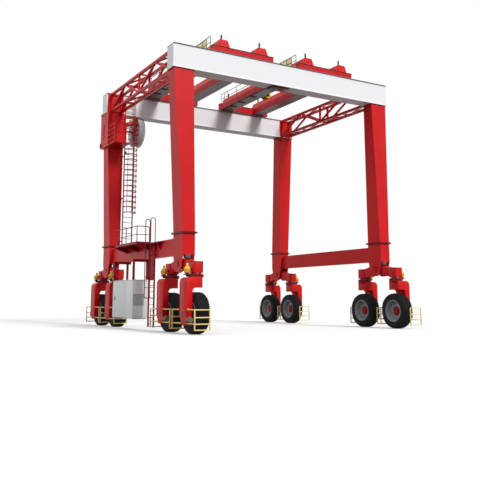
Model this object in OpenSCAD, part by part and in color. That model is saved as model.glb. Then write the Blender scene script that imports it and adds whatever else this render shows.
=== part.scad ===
// Rubber tyred gantry crane, built at real size in millimetres.
// X runs along the span, Y along the direction of travel, Z up, floor at Z 0.
// Wheel 1 of each corner is the outer one and wheel 2 the inner one.

/* [Gantry] */
// Length of a main girder
girder_l = 12870; // [11000:10:16000]
// Width of a main girder
girder_w = 665; // [500:5:900]
// Height of a main girder
girder_h = 1150; // [800:10:1600]
// Level of the girder top above the floor
girder_top = 13090; // [11000:10:16000]
// Width over the outer faces of both girders
gantry_w = 9700; // [9400:10:10200]
// Thickness of the girder flange plates
flange_t = 30; // [16:1:50]
// Overhang of the girder flange plates
flange_out = 40; // [10:1:80]
// Height of the trolley rail
rail_h = 40; // [30:1:60]
// Width of the trolley rail
rail_w = 80; // [60:1:120]
// Distance from the inner girder face to the middle of the trolley rail
rail_in = 65; // [60:1:90]
// Distance from the girder end to the end of the trolley rail
rail_end = 60; // [40:5:200]

/* [Legs] */
// Distance of the inner leg faces from the middle of the span
leg_in = 5370; // [5300:5:5450]
// Leg size along the span at the foot
leg_foot_x = 610; // [580:5:700]
// Leg size along the span at the girder
leg_head_x = 1000; // [700:5:1060]
// Leg size along the travel at the foot
leg_foot_y = 960; // [700:5:1100]
// Level of the bolted leg joint
leg_foot_z = 4346; // [4250:1:4600]
// Overhang of the bolted joint plates
joint_out = 80; // [60:5:120]
// Thickness of one joint plate
joint_t = 32; // [20:1:50]
// Overhang of the leg head plates
head_out = 30; // [10:5:50]
// Height of the box round the head of the far left leg
cap_h = 1990; // [1500:10:2200]
// Overhang of that box over the leg along the span
cap_out = 40; // [20:5:80]
// Distance of the front of that box from the middle of the travel
cap_front = 3900; // [3800:5:4000]
// Overhang of that box behind the leg
cap_back = 250; // [100:5:300]
// Width of the hatch recess in that box
hatch_w = 250; // [200:5:400]
// Height of the hatch recess
hatch_h = 850; // [600:10:1200]
// Distance from the box underside up to the hatch recess
hatch_z = 450; // [200:10:700]
// Depth of the hatch recess
hatch_d = 25; // [10:1:35]

/* [Sills] */
// Width of a sill beam
sill_w = 240; // [180:5:400]
// Height of a sill beam
sill_h = 785; // [500:5:850]
// Level of the sill beam top
sill_top = 4165; // [4000:5:4200]
// Level of the sill end box underside
endbox_low = 3370; // [3330:5:3500]
// Thickness of a cheek plate
cheek_t = 50; // [30:1:55]
// Width of a cheek plate at the pin
cheek_w = 740; // [600:5:900]
// Corner radius at the tip of a cheek plate
cheek_r = 290; // [100:5:300]
// Distance from the balance pin down to the tip of a cheek plate
cheek_drop = 340; // [300:5:380]
// Overlap of the cheek plates on the end box
cheek_lap = 50; // [30:5:100]
// Overhang of the balance pins over the cheek plates
pin_out = 30; // [20:1:60]

/* [Bogies] */
// Distance of the balance pins from the middle of the travel
pin_y = 4675; // [4600:5:4800]
// Level of the balance pins
pin_z = 2970; // [2950:5:3000]
// Diameter of the balance pins
pin_d = 180; // [120:1:220]
// Radial running clearance of pins and shafts
run_gap = 0.1; // [0.01:0.01:0.1]
// Width of the balance beam
balance_w = 400; // [300:5:480]
// Height of the balance beam at the pin
balance_h = 480; // [400:5:500]
// Length of the flat crest of the balance beam
balance_crest = 440; // [300:10:600]
// Length of the flat belly of the balance beam
balance_belly = 500; // [300:10:600]
// Length of the balance beam between its two upper knees
balance_knee = 1000; // [800:10:1200]
// Height of the crest over the knees
knee_drop = 70; // [40:5:100]
// Distance of the two steering axes of a bogie
wheel_gap = 2403; // [2390:1:2500]
// Distance of the steering axes from the middle of the span
king_x = 5675; // [5655:1:5695]
// Diameter of the king posts
king_d = 260; // [180:1:320]
// Side of the square king post housings
post_w = 460; // [430:5:500]
// Height of the king post housings
post_h = 500; // [450:5:520]
// Overhang of lid plates on housings and trolley beams
lid_out = 12; // [8:1:20]
// Thickness of those lid plates
lid_t = 16; // [10:1:25]
// Level of the slewing joint
slew_z = 2455; // [2445:1:2500]
// Diameter of the slewing flanges
slew_d = 680; // [600:5:720]
// Gap between the two slewing flanges
slew_gap = 5; // [5:1:10]
// Thickness of the rim of the slewing flange
flange_rim = 30; // [20:1:50]
// Length of a king post above the slewing joint
king_h = 450; // [400:5:480]
// Distance of the steering motors from the steering axes
motor_out = 410; // [400:5:440]
// Diameter of the steering motors
motor_d = 280; // [200:5:300]
// Thickness of the steering motor brackets
motor_base = 40; // [30:1:60]
// Width of the steering motor brackets
motor_neck = 300; // [200:5:320]

/* [Forks and wheels] */
// Tyre diameter
tyre_d = 1750; // [1700:5:1780]
// Tyre width
tyre_w = 575; // [500:5:590]
// Rim diameter
rim_d = 1030; // [950:5:1060]
// Diameter of the wheel axle
axle_d = 160; // [120:1:180]
// Distance from the steering axis to the outer face of the fork arm
arm_out = 595; // [590:5:620]
// Thickness of the fork arm
arm_t = 290; // [240:5:295]
// Width of the fork arm along the travel
arm_y = 680; // [600:5:700]
// Width of the fork arm at its tip
arm_tip = 350; // [300:5:450]
// Height of the tapered tip of the fork arm
tip_h = 410; // [300:5:500]
// Level of the lowest point of the fork
tip_z = 370; // [330:5:450]
// Outer corner radius of the fork
fork_r = 220; // [150:5:260]
// Inner corner radius of the fork
arch_r = 150; // [80:5:200]
// Height of the fork above the tyre
fork_gap = 175; // [150:5:200]
// Depth of the slewing flange that carries the fork
fork_top = 85; // [70:1:100]
// Distance from the steering axis to the inner face of the fork
fork_back = 150; // [140:1:160]
// Diameter of the travel motor on the fork arm
drive_d = 190; // [160:5:220]
// Level of the travel motor
drive_z = 660; // [600:5:720]
// Distance of the wheel guards from the steering axis
guard_y = 1070; // [1000:5:1080]
// Level of the lowest guard bar
guard_low = 180; // [150:5:250]
// Level of the guard frame top
guard_high = 1080; // [1000:5:1120]
// Thickness of the guard bars
guard_t = 50; // [30:1:55]

/* [Trolleys] */
// Middle of the first trolley along the span
trolley_1 = -2395; // [-2450:5:-2330]
// Middle of the second trolley along the span
trolley_2 = 2675; // [2600:5:2750]
// Length of the trolley end beams
trolley_l = 3460; // [3400:10:3500]
// Width of the trolley end beams
end_w = 300; // [260:10:320]
// Height of the trolley end beams
end_h = 415; // [380:5:450]
// Gap between the rail and the trolley end beams
end_gap = 25; // [15:1:40]
// Distance of the two cross beams of a trolley
cross_gap = 2200; // [2100:10:2300]
// Distance of their middle from the middle of the trolley
cross_off = 55; // [0:5:80]
// Width of a cross beam at its foot
cross_w = 710; // [600:10:720]
// Width of a cross beam at its crest
cross_crest = 430; // [300:10:500]
// Height of a cross beam
cross_h = 725; // [600:5:760]
// Height of the cross beams above the end beam underside
cross_lift = 45; // [0:5:80]
// Diameter of the posts on the crests
horn_d = 76; // [50:2:100]
// Height of the posts on the crests
horn_h = 345; // [200:5:400]
// Distance of those posts from the ends of the cross beams
horn_in = 263; // [150:1:400]
// Distance of the tie beam from the middle of the travel
tie_y = 925; // [800:5:1000]
// Width of the tie beam
tie_w = 450; // [300:10:500]
// Height of the tie beam
tie_h = 185; // [150:5:250]
// Diameter of the trolley wheels
trolley_wheel_d = 300; // [250:5:340]
// Width of the trolley wheels
trolley_wheel_w = 100; // [80:5:140]
// Distance of the trolley wheels from the middle of the trolley
trolley_wheel_x = 1300; // [1200:5:1450]
// Thickness of the walkway floor and of its side plate
walk_t = 40; // [30:1:50]
// Distance from the end beam top down to the walkway floor
walk_drop = 100; // [60:5:150]
// Height of the walkway railing
walk_rail_h = 660; // [500:5:1000]
// Thickness of the railing bars
walk_bar = 30; // [25:1:40]

/* [End trusses] */
// Distance of the inner chords from the middle of the span
truss_xi = 5570; // [5500:5:5600]
// Distance of the outer chords from the middle of the span
truss_xo = 6140; // [6100:5:6250]
// Height between the middles of the truss chords
truss_h = 970; // [850:5:980]
// Thickness of a truss chord
chord_t = 130; // [110:2:140]
// Thickness of the truss posts
web_t = 100; // [60:2:110]
// Thickness of the bars between the two truss faces
lace_t = 80; // [50:2:90]
// How much thinner the diagonals are than the straight bars
brace_less = 8; // [4:1:12]
// Half width of a truss gusset
gusset_w = 170; // [100:5:200]
// Height of a truss gusset
gusset_h = 200; // [100:5:250]
// Thickness of the truss end plates
plate_t = 45; // [42:1:60]
// Overhang of those plates over the inner chords
plate_in = 75; // [40:5:90]
// Overhang of those plates over the outer chords
plate_out = 155; // [60:5:200]
// Number of bays of a truss
bays = 4; // [4:2:6]

/* [Access and power] */
// Distance between two ladder rungs
rung_gap = 300; // [250:5:350]
// Width of the caged ladder
cage_w = 560; // [450:5:560]
// Radius of the ladder cage
cage_r = 370; // [330:5:380]
// Height of the caged ladder foot above the platform
ladder_lift = 260; // [200:10:400]
// Height of the caged ladder top above the girder underside
ladder_up = 950; // [800:10:1000]
// Height of the lowest cage hoop above the ladder foot
cage_lift = 1810; // [1500:10:2200]
// Thickness of a cage hoop
hoop_t = 20; // [15:1:30]
// Height of a cage hoop
hoop_h = 50; // [40:1:70]
// Length of the rest platform along the travel
rest_l = 1150; // [1000:10:1200]
// Width of the rest platform along the span
rest_w = 950; // [800:10:955]
// Thickness of the rest platform floor
rest_t = 60; // [40:5:80]
// Height of the rest platform railing
rest_rail = 1050; // [900:10:1100]
// Width of the ground ladder
ladder_w = 640; // [500:5:700]
// Middle of the ground ladder along the travel
ladder_y = -1570; // [-1600:5:-1500]
// Distance of the handrails from the ground ladder
handrail_out = 230; // [200:5:260]
// Diameter of the handrails
handrail_d = 44; // [36:2:50]
// Height of the handrail bends above the platform
handrail_h = 1060; // [900:10:1200]
// Level of the handrail ends
handrail_low = 1500; // [1300:10:1700]
// Level of the ground ladder foot
ladder_foot = 150; // [100:5:300]
// Length of the landing beside the ground ladder
landing_l = 780; // [600:10:900]
// Height of the guard plate on the ground ladder
screen_h = 1060; // [900:10:1200]
// Diameter of the cable reel
reel_d = 1720; // [1400:10:1740]
// Width of the cable reel
reel_w = 380; // [300:10:400]
// Width of the reel rims
reel_rim = 60; // [40:5:100]
// Diameter of the reel drum
reel_hub = 900; // [700:10:1000]
// Thickness of the reel flanges
reel_plate = 24; // [15:1:30]
// Diameter of the reel axle
reel_axle = 120; // [80:5:150]
// Number of reel spokes
spokes = 8; // [6:1:12]
// Distance of the reel from the leg
reel_gap = 730; // [700:5:760]
// Distance from the girder underside down to the reel axle
reel_drop = 890; // [880:5:1000]
// Length of the electric cabinet
cabinet_l = 2750; // [2000:10:2750]
// Height of the electric cabinet
cabinet_h = 1880; // [1500:10:2200]
// Depth of the electric cabinet
cabinet_d = 800; // [500:10:900]
// Distance from the sill underside down to the cabinet
cabinet_drop = 990; // [700:5:1000]
// Distance of the near cabinet end from the middle of the travel
cabinet_near = 750; // [700:5:800]
// Width of the cabinet hangers
hanger_w = 100; // [80:5:140]
// Height of the cabinet hanger beams
hanger_h = 130; // [100:5:160]
// Length of the platform
platform_l = 2950; // [2500:10:3000]
// Depth of the platform outboard of the sill
platform_d = 705; // [600:5:800]
// Height of the platform railing
platform_rail = 850; // [800:5:1100]
// Distance of the near platform edge from the middle of the travel
platform_near = 1100; // [1050:5:1150]
// Thickness of the platform floor
deck_t = 50; // [40:5:60]
// Height of the platform brackets at the sill
bracket_h = 320; // [250:5:400]
// Thickness of the platform brackets
bracket_t = 60; // [30:5:80]
// Thickness of the railing posts
post_t = 50; // [40:1:60]
// Thickness of the railing bars
bar_t = 30; // [25:1:40]

/* [Hidden] */
$fn = 64;
girder_y = gantry_w / 2 - girder_w / 2;
girder_in = gantry_w / 2 - girder_w;
girder_low = girder_top - girder_h;
rail_top = girder_top + rail_h;
leg_yi = girder_in + 10;
leg_yo = gantry_w / 2 - 20;
foot_xm = leg_in + leg_foot_x / 2;
foot_xo = leg_in + leg_foot_x;
foot_yi = pin_y - leg_foot_y / 2;
foot_yo = pin_y + leg_foot_y / 2;
sill_low = sill_top - sill_h;
sill_xo = foot_xm + sill_w / 2;
sill_xi = foot_xm - sill_w / 2;
deck_z = sill_top - 35;
bogie_out = wheel_gap / 2 + post_w / 2;
post_low = slew_z + 85;
post_top = post_low + post_h;
arm_in = arm_out - arm_t;
tyre_r = tyre_d / 2;
rail_y = girder_in + rail_in;
trolley_low = rail_top + end_gap;
trolley_top = trolley_low + end_h;
cross_low = trolley_low + cross_lift;
reel_z = girder_low - reel_drop;
reel_y = girder_y - 37;
reel_x = -leg_in + reel_gap;
cage_y = cap_front + 90;
cage_x = (cage_w + post_t) / 2 + 5 - leg_in;
cap_low = girder_low - cap_h;
cabinet_top = sill_low - cabinet_drop;
cabinet_y = -cabinet_near;
platform_y = -platform_near;
platform_out = sill_xo + platform_d;
truss_zt = girder_top - 70;
truss_zb = truss_zt - truss_h;

// Points of an arc from angle a to angle b about a centre in the plane
function arc(x, y, r, a, b, n = 8) =
  [for (k = [0:n]) [x + r * cos(a + (b - a) * k / n), y + r * sin(a + (b - a) * k / n)]];

// Square bar of side t from point p to point q
module bar(p, q, t) {
  d = q - p;
  l = norm(d);
  translate(p)
    rotate([0, acos(d[2] / l), atan2(d[1], d[0])])
      translate([-t / 2, -t / 2, 0])
        cube([t, t, l]);
}

module box_at(x0, x1, y0, y1, z0, z1)
  translate([x0, y0, z0])
    cube([x1 - x0, y1 - y0, z1 - z0]);

// Shape drawn in the plane of X and Z, stretched along Y
module along_y(y0, y1)
  translate([0, y1, 0])
    rotate([90, 0, 0])
      linear_extrude(height = y1 - y0)
        children();

// Shape drawn in the plane of Y and Z, stretched along X
module along_x(x0, x1)
  translate([x0, 0, 0])
    rotate([90, 0, 90])
      linear_extrude(height = x1 - x0)
        children();

// Round bar along X from x0 to x1
module rod_x(x0, x1, y, z, d)
  translate([x0, y, z])
    rotate([0, 90, 0])
      cylinder(h = x1 - x0, r = d / 2);

module mirrored(sx, sy)
  scale([sx, sy, 1])
    children();

// The rear girder about its own middle: web box, two flange plates and the rail
module girder() {
  half = girder_l / 2;
  wing = girder_w / 2 + flange_out;
  line = rail_in - girder_w / 2;
  color([0.94, 0.94, 0.95]) {
    box_at(-half, half, -girder_w / 2, girder_w / 2, girder_low + flange_t, girder_top - flange_t);
    for (z = [girder_low, girder_top - flange_t])
      box_at(-half, half, -wing, wing, z, z + flange_t);
    box_at(rail_end - half, half - rail_end, line - rail_w / 2, line + rail_w / 2, girder_top, rail_top);
  }
}

// The tapered shaft of a leg, in the quarter of positive X and Y
module leg_shaft(grow) {
  intersection() {
    along_y(foot_yi - 400, foot_yo + 400)
      polygon([[leg_in - grow, leg_foot_z], [foot_xo, leg_foot_z],
        [leg_in + leg_head_x, girder_low], [leg_in - grow, girder_low]]);
    along_x(leg_in - 400, leg_in + leg_head_x + 400)
      polygon([[foot_yi, leg_foot_z], [foot_yo, leg_foot_z], [leg_yo, girder_low],
        [leg_yi, girder_low]]);
  }
}

// One leg, tapered in both views, with its foot plate and head plate
module leg() {
  color([0.8, 0.1, 0.1]) {
    leg_shaft(0);
    box_at(leg_in - joint_out, foot_xo + joint_out, foot_yi - joint_out, foot_yo + joint_out,
      leg_foot_z, leg_foot_z + joint_t);
    box_at(leg_in - head_out, leg_in + leg_head_x + head_out, leg_yi - head_out, leg_yo + head_out / 2,
      girder_low - joint_t, girder_low);
  }
}

// Cheek plate that narrows to a tip with round corners, drawn about the pin
module cheek_shape() {
  h = cheek_w / 2;
  polygon(concat([[-leg_foot_y / 2, endbox_low + cheek_lap - pin_z], [-h, 0]],
    arc(cheek_r - h, cheek_r - cheek_drop, cheek_r, 180, 270),
    arc(h - cheek_r, cheek_r - cheek_drop, cheek_r, 270, 360),
    [[h, 0], [leg_foot_y / 2, endbox_low + cheek_lap - pin_z]]));
}

// The box under a leg, with two cheeks and the pin of the balance beam
module sill_end() {
  box_at(leg_in - joint_out, foot_xo + joint_out, foot_yi - joint_out, foot_yo + joint_out,
    leg_foot_z - joint_t, leg_foot_z);
  box_at(leg_in, foot_xo, foot_yi, foot_yo, endbox_low, leg_foot_z - joint_t);
  for (x = [leg_in, foot_xo - cheek_t])
    translate([0, pin_y, pin_z])
      along_x(x, x + cheek_t)
        cheek_shape();
  rod_x(leg_in - pin_out, foot_xo + pin_out, pin_y, pin_z, pin_d);
}

module sill(sx) {
  color([0.8, 0.1, 0.1]) {
    mirrored(sx, 1)
      sill_end();
    mirrored(sx, -1)
      sill_end();
    mirrored(sx, 1)
      box_at(sill_xi, sill_xo, -foot_yi - 20, foot_yi + 20, sill_low, sill_top);
  }
}

// A lattice box between the girders, with an end plate on each girder
module truss(sx) {
  ye = girder_in - 70;
  s = 2 * ye / bays;
  xs = [truss_xi, truss_xo];
  zs = [truss_zb, truss_zt];
  c = chord_t / 2;
  yc = girder_in - flange_out;
  color([0.8, 0.1, 0.1])
    mirrored(sx, 1) {
      for (x = xs)
        for (z = zs)
          box_at(x - c, x + c, -yc, yc, z - c, z + c);
      for (k = [0:2:bays])
        for (x = xs)
          bar([x, k * s - ye, truss_zb], [x, k * s - ye, truss_zt], web_t);
      for (k = [0:bays])
        for (z = zs)
          bar([truss_xi, k * s - ye, z], [truss_xo, k * s - ye, z], lace_t);
      for (k = [0:bays - 1]) {
        rising = k % 2 == 0;
        y0 = k * s - ye;
        y1 = y0 + s;
        for (x = xs)
          bar([x, y0, zs[rising ? 0 : 1]], [x, y1, zs[rising ? 1 : 0]], web_t - brace_less);
        for (z = zs)
          bar([xs[rising ? 0 : 1], y0, z], [xs[rising ? 1 : 0], y1, z], lace_t - brace_less);
        if (k < bays - 1)
          for (x = xs)
            gusset(x, y1, zs[rising ? 1 : 0], rising ? -gusset_h : gusset_h);
      }
      for (y = [-girder_in, girder_in - plate_t])
        box_at(truss_xi - c - plate_in, truss_xo + c + plate_out, y, y + plate_t, girder_low + flange_t,
          girder_top - flange_t);
    }
}

// Plate where the diagonals of a truss face meet a chord
module gusset(x, y, z, h)
  along_x(x - 8, x + 8)
    polygon([[y - gusset_w, z], [y + gusset_w, z], [y, z + h]]);

// The box round the head of leg B, open where the leg stands in it, with the rest platform
module leg_box() {
  xo = -leg_in - leg_head_x - cap_out;
  ym = girder_y - 45;
  color([0.8, 0.1, 0.1]) {
    difference() {
      box_at(xo, -leg_in, cap_front, leg_yo + cap_back, cap_low, girder_low - joint_t);
      box_at(xo - 10, xo + hatch_d, ym - hatch_w / 2, ym + hatch_w / 2, cap_low + hatch_z,
        cap_low + hatch_z + hatch_h);
      mirrored(-1, 1)
        leg_shaft(5);
    }
    rest_platform(xo, cap_front - rest_l, cap_low - 10);
  }
}

// Floor and railing in front of the leg box, open towards the caged ladder
module rest_platform(x, y, z) {
  p = post_t / 2;
  top = z + rest_t + rest_rail;
  box_at(x, x + rest_w, y, cap_front + 10, z, z + rest_t);
  for (a = [[x + p, y + p], [x + p, cap_front - p], [x + rest_w * 0.7, y + p]])
    box_at(a[0] - p, a[0] + p, a[1] - p, a[1] + p, z + 5, top);
  for (k = [1:4]) {
    h = z + rest_t + k * rest_rail / 4 - bar_t;
    box_at(x + 10, x + 10 + bar_t, y + p, cap_front - p, h, h + bar_t);
    if (k % 2 == 0)
      box_at(x + p, x + rest_w * 0.7, y + 10, y + 10 + bar_t, h, h + bar_t);
  }
}

// One hoop of the ladder cage, with a way out to the side where it is open
module cage_hoop(y, z, open) {
  difference() {
    translate([cage_x, y, z])
      difference() {
        cylinder(h = hoop_h, r = cage_r + hoop_t / 2);
        translate([0, 0, -10])
          cylinder(h = hoop_h + 20, r = cage_r - hoop_t / 2);
      }
    box_at(cage_x - 2 * cage_r, cage_x + 2 * cage_r, cage_y, cage_y + 2 * cage_r, z - 20, z + hoop_h + 20);
    if (open)
      box_at(cage_x - 2 * cage_r, cage_x - cage_r / 4, y - 2 * cage_r, cage_y + 10, z - 20, z + hoop_h + 20);
    if (z > cap_low)
      box_at(cage_x - 2 * cage_r, cage_x - cage_w / 2, cap_front, cage_y + 10, z - 20, z + hoop_h + 20);
  }
}

// Ladder with a round cage in front of leg B
module caged_ladder() {
  xs = [cage_x - cage_w / 2, cage_x + cage_w / 2];
  low = deck_z + ladder_lift;
  top = girder_low + ladder_up;
  hoop_y = cage_y - sqrt(cage_r * cage_r - cage_w * cage_w / 4);
  first = low + cage_lift;
  last = first + floor((girder_low - 300 - first) / rung_gap) * rung_gap + hoop_h;
  lower = first + floor((cap_low - first) / rung_gap) * rung_gap + hoop_h;
  color([0.75, 0.1, 0.1]) {
    for (x = xs)
      box_at(x - post_t / 2, x + post_t / 2, cage_y - 35, cage_y + 35, low, top);
    for (z = [low + 100:rung_gap:top - 50])
      translate([xs[0], cage_y, z])
        rotate([0, 90, 0])
          cylinder(h = cage_w, r = 15, $fn = 12);
    for (z = [first:rung_gap:last - hoop_h])
      cage_hoop(hoop_y, z, z > cap_low && z < cap_low + rest_rail);
    for (a = [-135, -90, -45])
      translate([cage_x + cage_r * cos(a) - 12, hoop_y + cage_r * sin(a) - 12, first])
        cube([24, 24, (a < -90 ? lower : last) - first]);
    for (k = [0:2]) {
      z = low + 200 + k * (cap_low - low - 200) * 0.45;
      box_at(-leg_in - 80, xs[0], cage_y, cage_y + 30, z, z + 60);
      box_at(-leg_in - 80, -leg_in - 50, cage_y, foot_yi, z, z + 60);
    }
  }
}

// Railed platform carried by brackets on the outer face of the left sill
module platform() {
  x = -platform_out;
  y0 = platform_y;
  y1 = y0 + platform_l;
  p = post_t / 2;
  color([0.75, 0.1, 0.1]) {
    box_at(x, -sill_xo, y0, y1, deck_z - deck_t, deck_z);
    for (y = [y0 + 10, y0 + platform_l / 2, y1 - bracket_t - 10])
      along_y(y, y + bracket_t)
        polygon([[x, deck_z - 40], [x, deck_z - 90], [-sill_xo, deck_z - bracket_h],
          [-sill_xo, deck_z - 40]]);
    for (a = [[x + p, y0 + p], [x + p, y0 + platform_l / 2], [x + p, y1 - p], [-sill_xo - p, y0 + p]])
      box_at(a[0] - p, a[0] + p, a[1] - p, a[1] + p, deck_z - 10, deck_z + platform_rail);
    for (z = [deck_z + platform_rail / 2, deck_z + platform_rail - bar_t]) {
      box_at(x + 10, x + 10 + bar_t, y0 + p, y1 - p, z, z + bar_t);
      box_at(x + 10, -sill_xo - 10, y0 + 10, y0 + 10 + bar_t, z, z + bar_t);
    }
  }
}

// Half round bend of a handrail in the plane of X and Z, above or below its middle
module handrail_bend(r, part)
  rotate([90, 0, 0])
    intersection() {
      rotate_extrude()
        translate([r, 0])
          circle(d = handrail_d);
      translate(part)
        cube([4 * r, 2 * r, 100]);
    }

// Hooked handrail of the ground ladder, drawn in the plane of X and Z
module handrail(y, x) {
  r = handrail_out / 2;
  top = deck_z + handrail_h;
  low = handrail_low;
  translate([0, y, 0]) {
    for (p = [[x, deck_z - 500], [x - handrail_out, low + r]])
      translate([p[0], 0, p[1]])
        cylinder(h = top - p[1], d = handrail_d);
    translate([x - r, 0, top])
      handrail_bend(r, [-2 * r, 0, -50]);
    translate([x - r, 0, low + r])
      handrail_bend(r, [-4 * r, -2 * r, -50]);
    for (z = [low, low + 500, low + 1000, low + 2200])
      rod_x(x - (z == low ? r : handrail_out), x, 0, z, bar_t);
  }
}

// Ladder from the ground to the sill, with its guard plate and landing
module ground_ladder() {
  x = -sill_xo - 75;
  ys = [ladder_y - ladder_w / 2, ladder_y + ladder_w / 2];
  color([0.75, 0.1, 0.1]) {
    for (y = ys) {
      box_at(x - 40, x + 40, y - 18, y + 18, ladder_foot, deck_z);
      for (z = [sill_low + 120, deck_z - 200])
        box_at(x, -sill_xo, y - 18, y + 18, z, z + 80);
      handrail(y, x);
    }
    for (z = [ladder_foot + 150:rung_gap:deck_z - 100])
      translate([x, ys[0], z])
        rotate([-90, 0, 0])
          cylinder(h = ladder_w, r = 14, $fn = 12);
    box_at(x - 10, x + 10, ys[0], ys[1], sill_low + 20 - screen_h, sill_low + 20);
    box_at(x - 120, -sill_xo, ys[0] - landing_l, platform_y, deck_z - deck_t - 10, deck_z);
    for (y = [ys[0] - 20, ys[0] - 500])
      along_y(y - 10, y + 10)
        polygon([[x - 110, deck_z - 50], [-sill_xo, deck_z - bracket_h - 100], [-sill_xo, deck_z - 50]]);
  }
}

// Electric cabinet that hangs from two brackets under the left sill
module cabinet() {
  x0 = -platform_out;
  x1 = x0 + cabinet_d;
  y1 = cabinet_y + cabinet_l;
  color([0.85, 0.86, 0.87]) {
    box_at(x0, x1, cabinet_y, y1, cabinet_top - cabinet_h, cabinet_top);
    for (y = [cabinet_y, y1 - hanger_w]) {
      box_at(x0, max(x1, -sill_xi), y, y + hanger_w, sill_low - hanger_h, sill_low);
      for (x = [x0, x1 - hanger_w])
        box_at(x, x + hanger_w, y, y + hanger_w, cabinet_top, sill_low - hanger_h + 10);
    }
  }
}

// Bracket on leg B with the fixed axle of the cable reel
module reel_bracket() {
  color([0.75, 0.1, 0.1]) {
    box_at(-leg_in, -leg_in + 250, reel_y - 150, reel_y + 150, reel_z - 200, reel_z + 200);
    rod_x(-leg_in, reel_x + reel_w + 90, reel_y, reel_z, reel_axle);
  }
}

// Reel with two flanges that have spoke windows, and a drum between them
module cable_reel() {
  r = reel_d / 2;
  step = 360 / spokes;
  color([0.6, 0.6, 0.6])
    translate([reel_x, reel_y, reel_z])
      rotate([0, 90, 0])
        difference() {
          union() {
            for (z = [0, reel_w - reel_plate])
              translate([0, 0, z])
                difference() {
                  cylinder(h = reel_plate, r = r);
                  for (k = [0:spokes - 1])
                    rotate(k * step)
                      translate([0, 0, -10])
                        linear_extrude(height = reel_plate + 20)
                          polygon(concat(arc(0, 0, r - reel_rim, 6, step - 6),
                            arc(0, 0, reel_hub / 2 + 60, step - 10, 10)));
                }
            cylinder(h = reel_w, d = reel_hub);
          }
          translate([0, 0, -50])
            cylinder(h = reel_w + 100, r = reel_axle / 2 + run_gap);
        }
}

// Outline of a cross beam, drawn about its own middle
module cross_shape()
  polygon([[-cross_w / 2, cross_low], [cross_w / 2, cross_low], [cross_w / 2, trolley_top],
    [cross_crest / 2, cross_low + cross_h], [-cross_crest / 2, cross_low + cross_h],
    [-cross_w / 2, trolley_top]]);

// One end beam of a trolley with its wheels and lid
module end_beam() {
  half = trolley_l / 2;
  y0 = rail_y - end_w / 2;
  y1 = rail_y + end_w / 2;
  box_at(-half, half, y0, y1, trolley_low, trolley_top);
  box_at(-half - lid_out, half + lid_out, y0 - lid_out, y1 + lid_out, trolley_top - lid_t, trolley_top);
  for (x = [-trolley_wheel_x, trolley_wheel_x])
    translate([x, rail_y - trolley_wheel_w / 2, rail_top + trolley_wheel_d / 2 + 0.3])
      rotate([-90, 0, 0])
        cylinder(h = trolley_wheel_w, d = trolley_wheel_d);
}

// Two end beams on wheels, two hooded cross beams with posts, and a tie beam
module trolley_frame(tx) {
  ye = rail_y + end_w / 2;
  color([0.8, 0.1, 0.1])
    translate([tx, 0, 0]) {
      for (s = [-1, 1]) {
        mirrored(1, s)
          end_beam();
        translate([s * cross_gap / 2 - cross_off, 0, 0]) {
          along_y(-ye, ye)
            cross_shape();
          for (y = [horn_in - ye, ye - horn_in])
            translate([0, y, cross_low + cross_h - 20])
              cylinder(h = horn_h + 20, d = horn_d);
        }
      }
      box_at((cross_w - cross_gap) / 2 - cross_off - 10, (cross_gap - cross_w) / 2 - cross_off + 10,
        -tie_y - tie_w / 2, tie_w / 2 - tie_y, cross_low + 5, cross_low + tie_h);
    }
}

// Walkway along the left side of a trolley, with its side plate and railing
module trolley_walkway(tx) {
  xo = -trolley_l / 2;
  xi = -(cross_gap + cross_w) / 2 - cross_off;
  ye = rail_y - end_w / 2 - lid_out;
  floor_z = trolley_top - walk_drop;
  top = floor_z + walk_rail_h;
  color([0.85, 0.75, 0.1])
    translate([tx, 0, 0]) {
      box_at(xo, xi, -ye, ye, floor_z - walk_t, floor_z);
      box_at(xo, xo + walk_t, -ye, ye, trolley_low, floor_z);
      for (k = [-1, -0.9, -0.79, -0.52, 0, 0.52, 0.79, 0.9, 1])
        translate([xo, k * (ye - walk_bar / 2) - walk_bar / 2, floor_z - 5])
          cube([walk_bar, walk_bar, top - floor_z + 5]);
      for (z = [floor_z + walk_rail_h / 2, top - walk_bar])
        box_at(xo, xo + walk_bar, -ye, ye, z, z + walk_bar);
    }
}

// Side view of the balance beam, drawn about its pin
module balance_shape() {
  e = bogie_out;
  up = balance_h / 2 + 10;
  down = up - balance_h;
  high = post_top - pin_z;
  foot = post_low + 20 - pin_z;
  haunch = 1.5 * balance_knee - wheel_gap / 3;
  half = [[balance_belly / 2, down], [haunch, foot + 60], [e, foot], [e, high],
    [e - post_w - 20, high], [balance_knee / 2, up - knee_drop], [balance_crest / 2, up]];
  n = len(half) - 1;
  polygon(concat(half, [for (k = [n:-1:0]) [-half[k][0], half[k][1]]]));
}

// Balance beam with two king post housings, in the quarter of positive X and Y
module balance() {
  low = slew_z + slew_gap;
  p = post_w / 2;
  color([0.8, 0.1, 0.1])
    difference() {
      union() {
        translate([0, pin_y, pin_z])
          along_x(king_x - balance_w / 2, king_x + balance_w / 2)
            balance_shape();
        for (s = [-1, 1])
          translate([king_x, pin_y + s * wheel_gap / 2, 0]) {
            box_at(-p, p, -p, p, post_low, post_top);
            box_at(-p - lid_out, p + lid_out, -p - lid_out, p + lid_out, post_top - lid_t, post_top);
            translate([0, 0, low])
              rotate_extrude()
                polygon([[0, 0], [slew_d / 2, 0], [slew_d / 2, flange_rim], [p, post_low - low + 10],
                  [0, post_low - low + 10]]);
            box_at(0, motor_out + motor_neck / 2, -motor_neck / 2, motor_neck / 2, low, low + motor_base);
          }
      }
      for (s = [-1, 1])
        translate([king_x, pin_y + s * wheel_gap / 2, slew_z - 50])
          cylinder(h = king_h + 80, r = king_d / 2 + run_gap);
      rod_x(king_x - balance_w, king_x + balance_w, pin_y, pin_z, pin_d + 2 * run_gap);
    }
}

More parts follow.
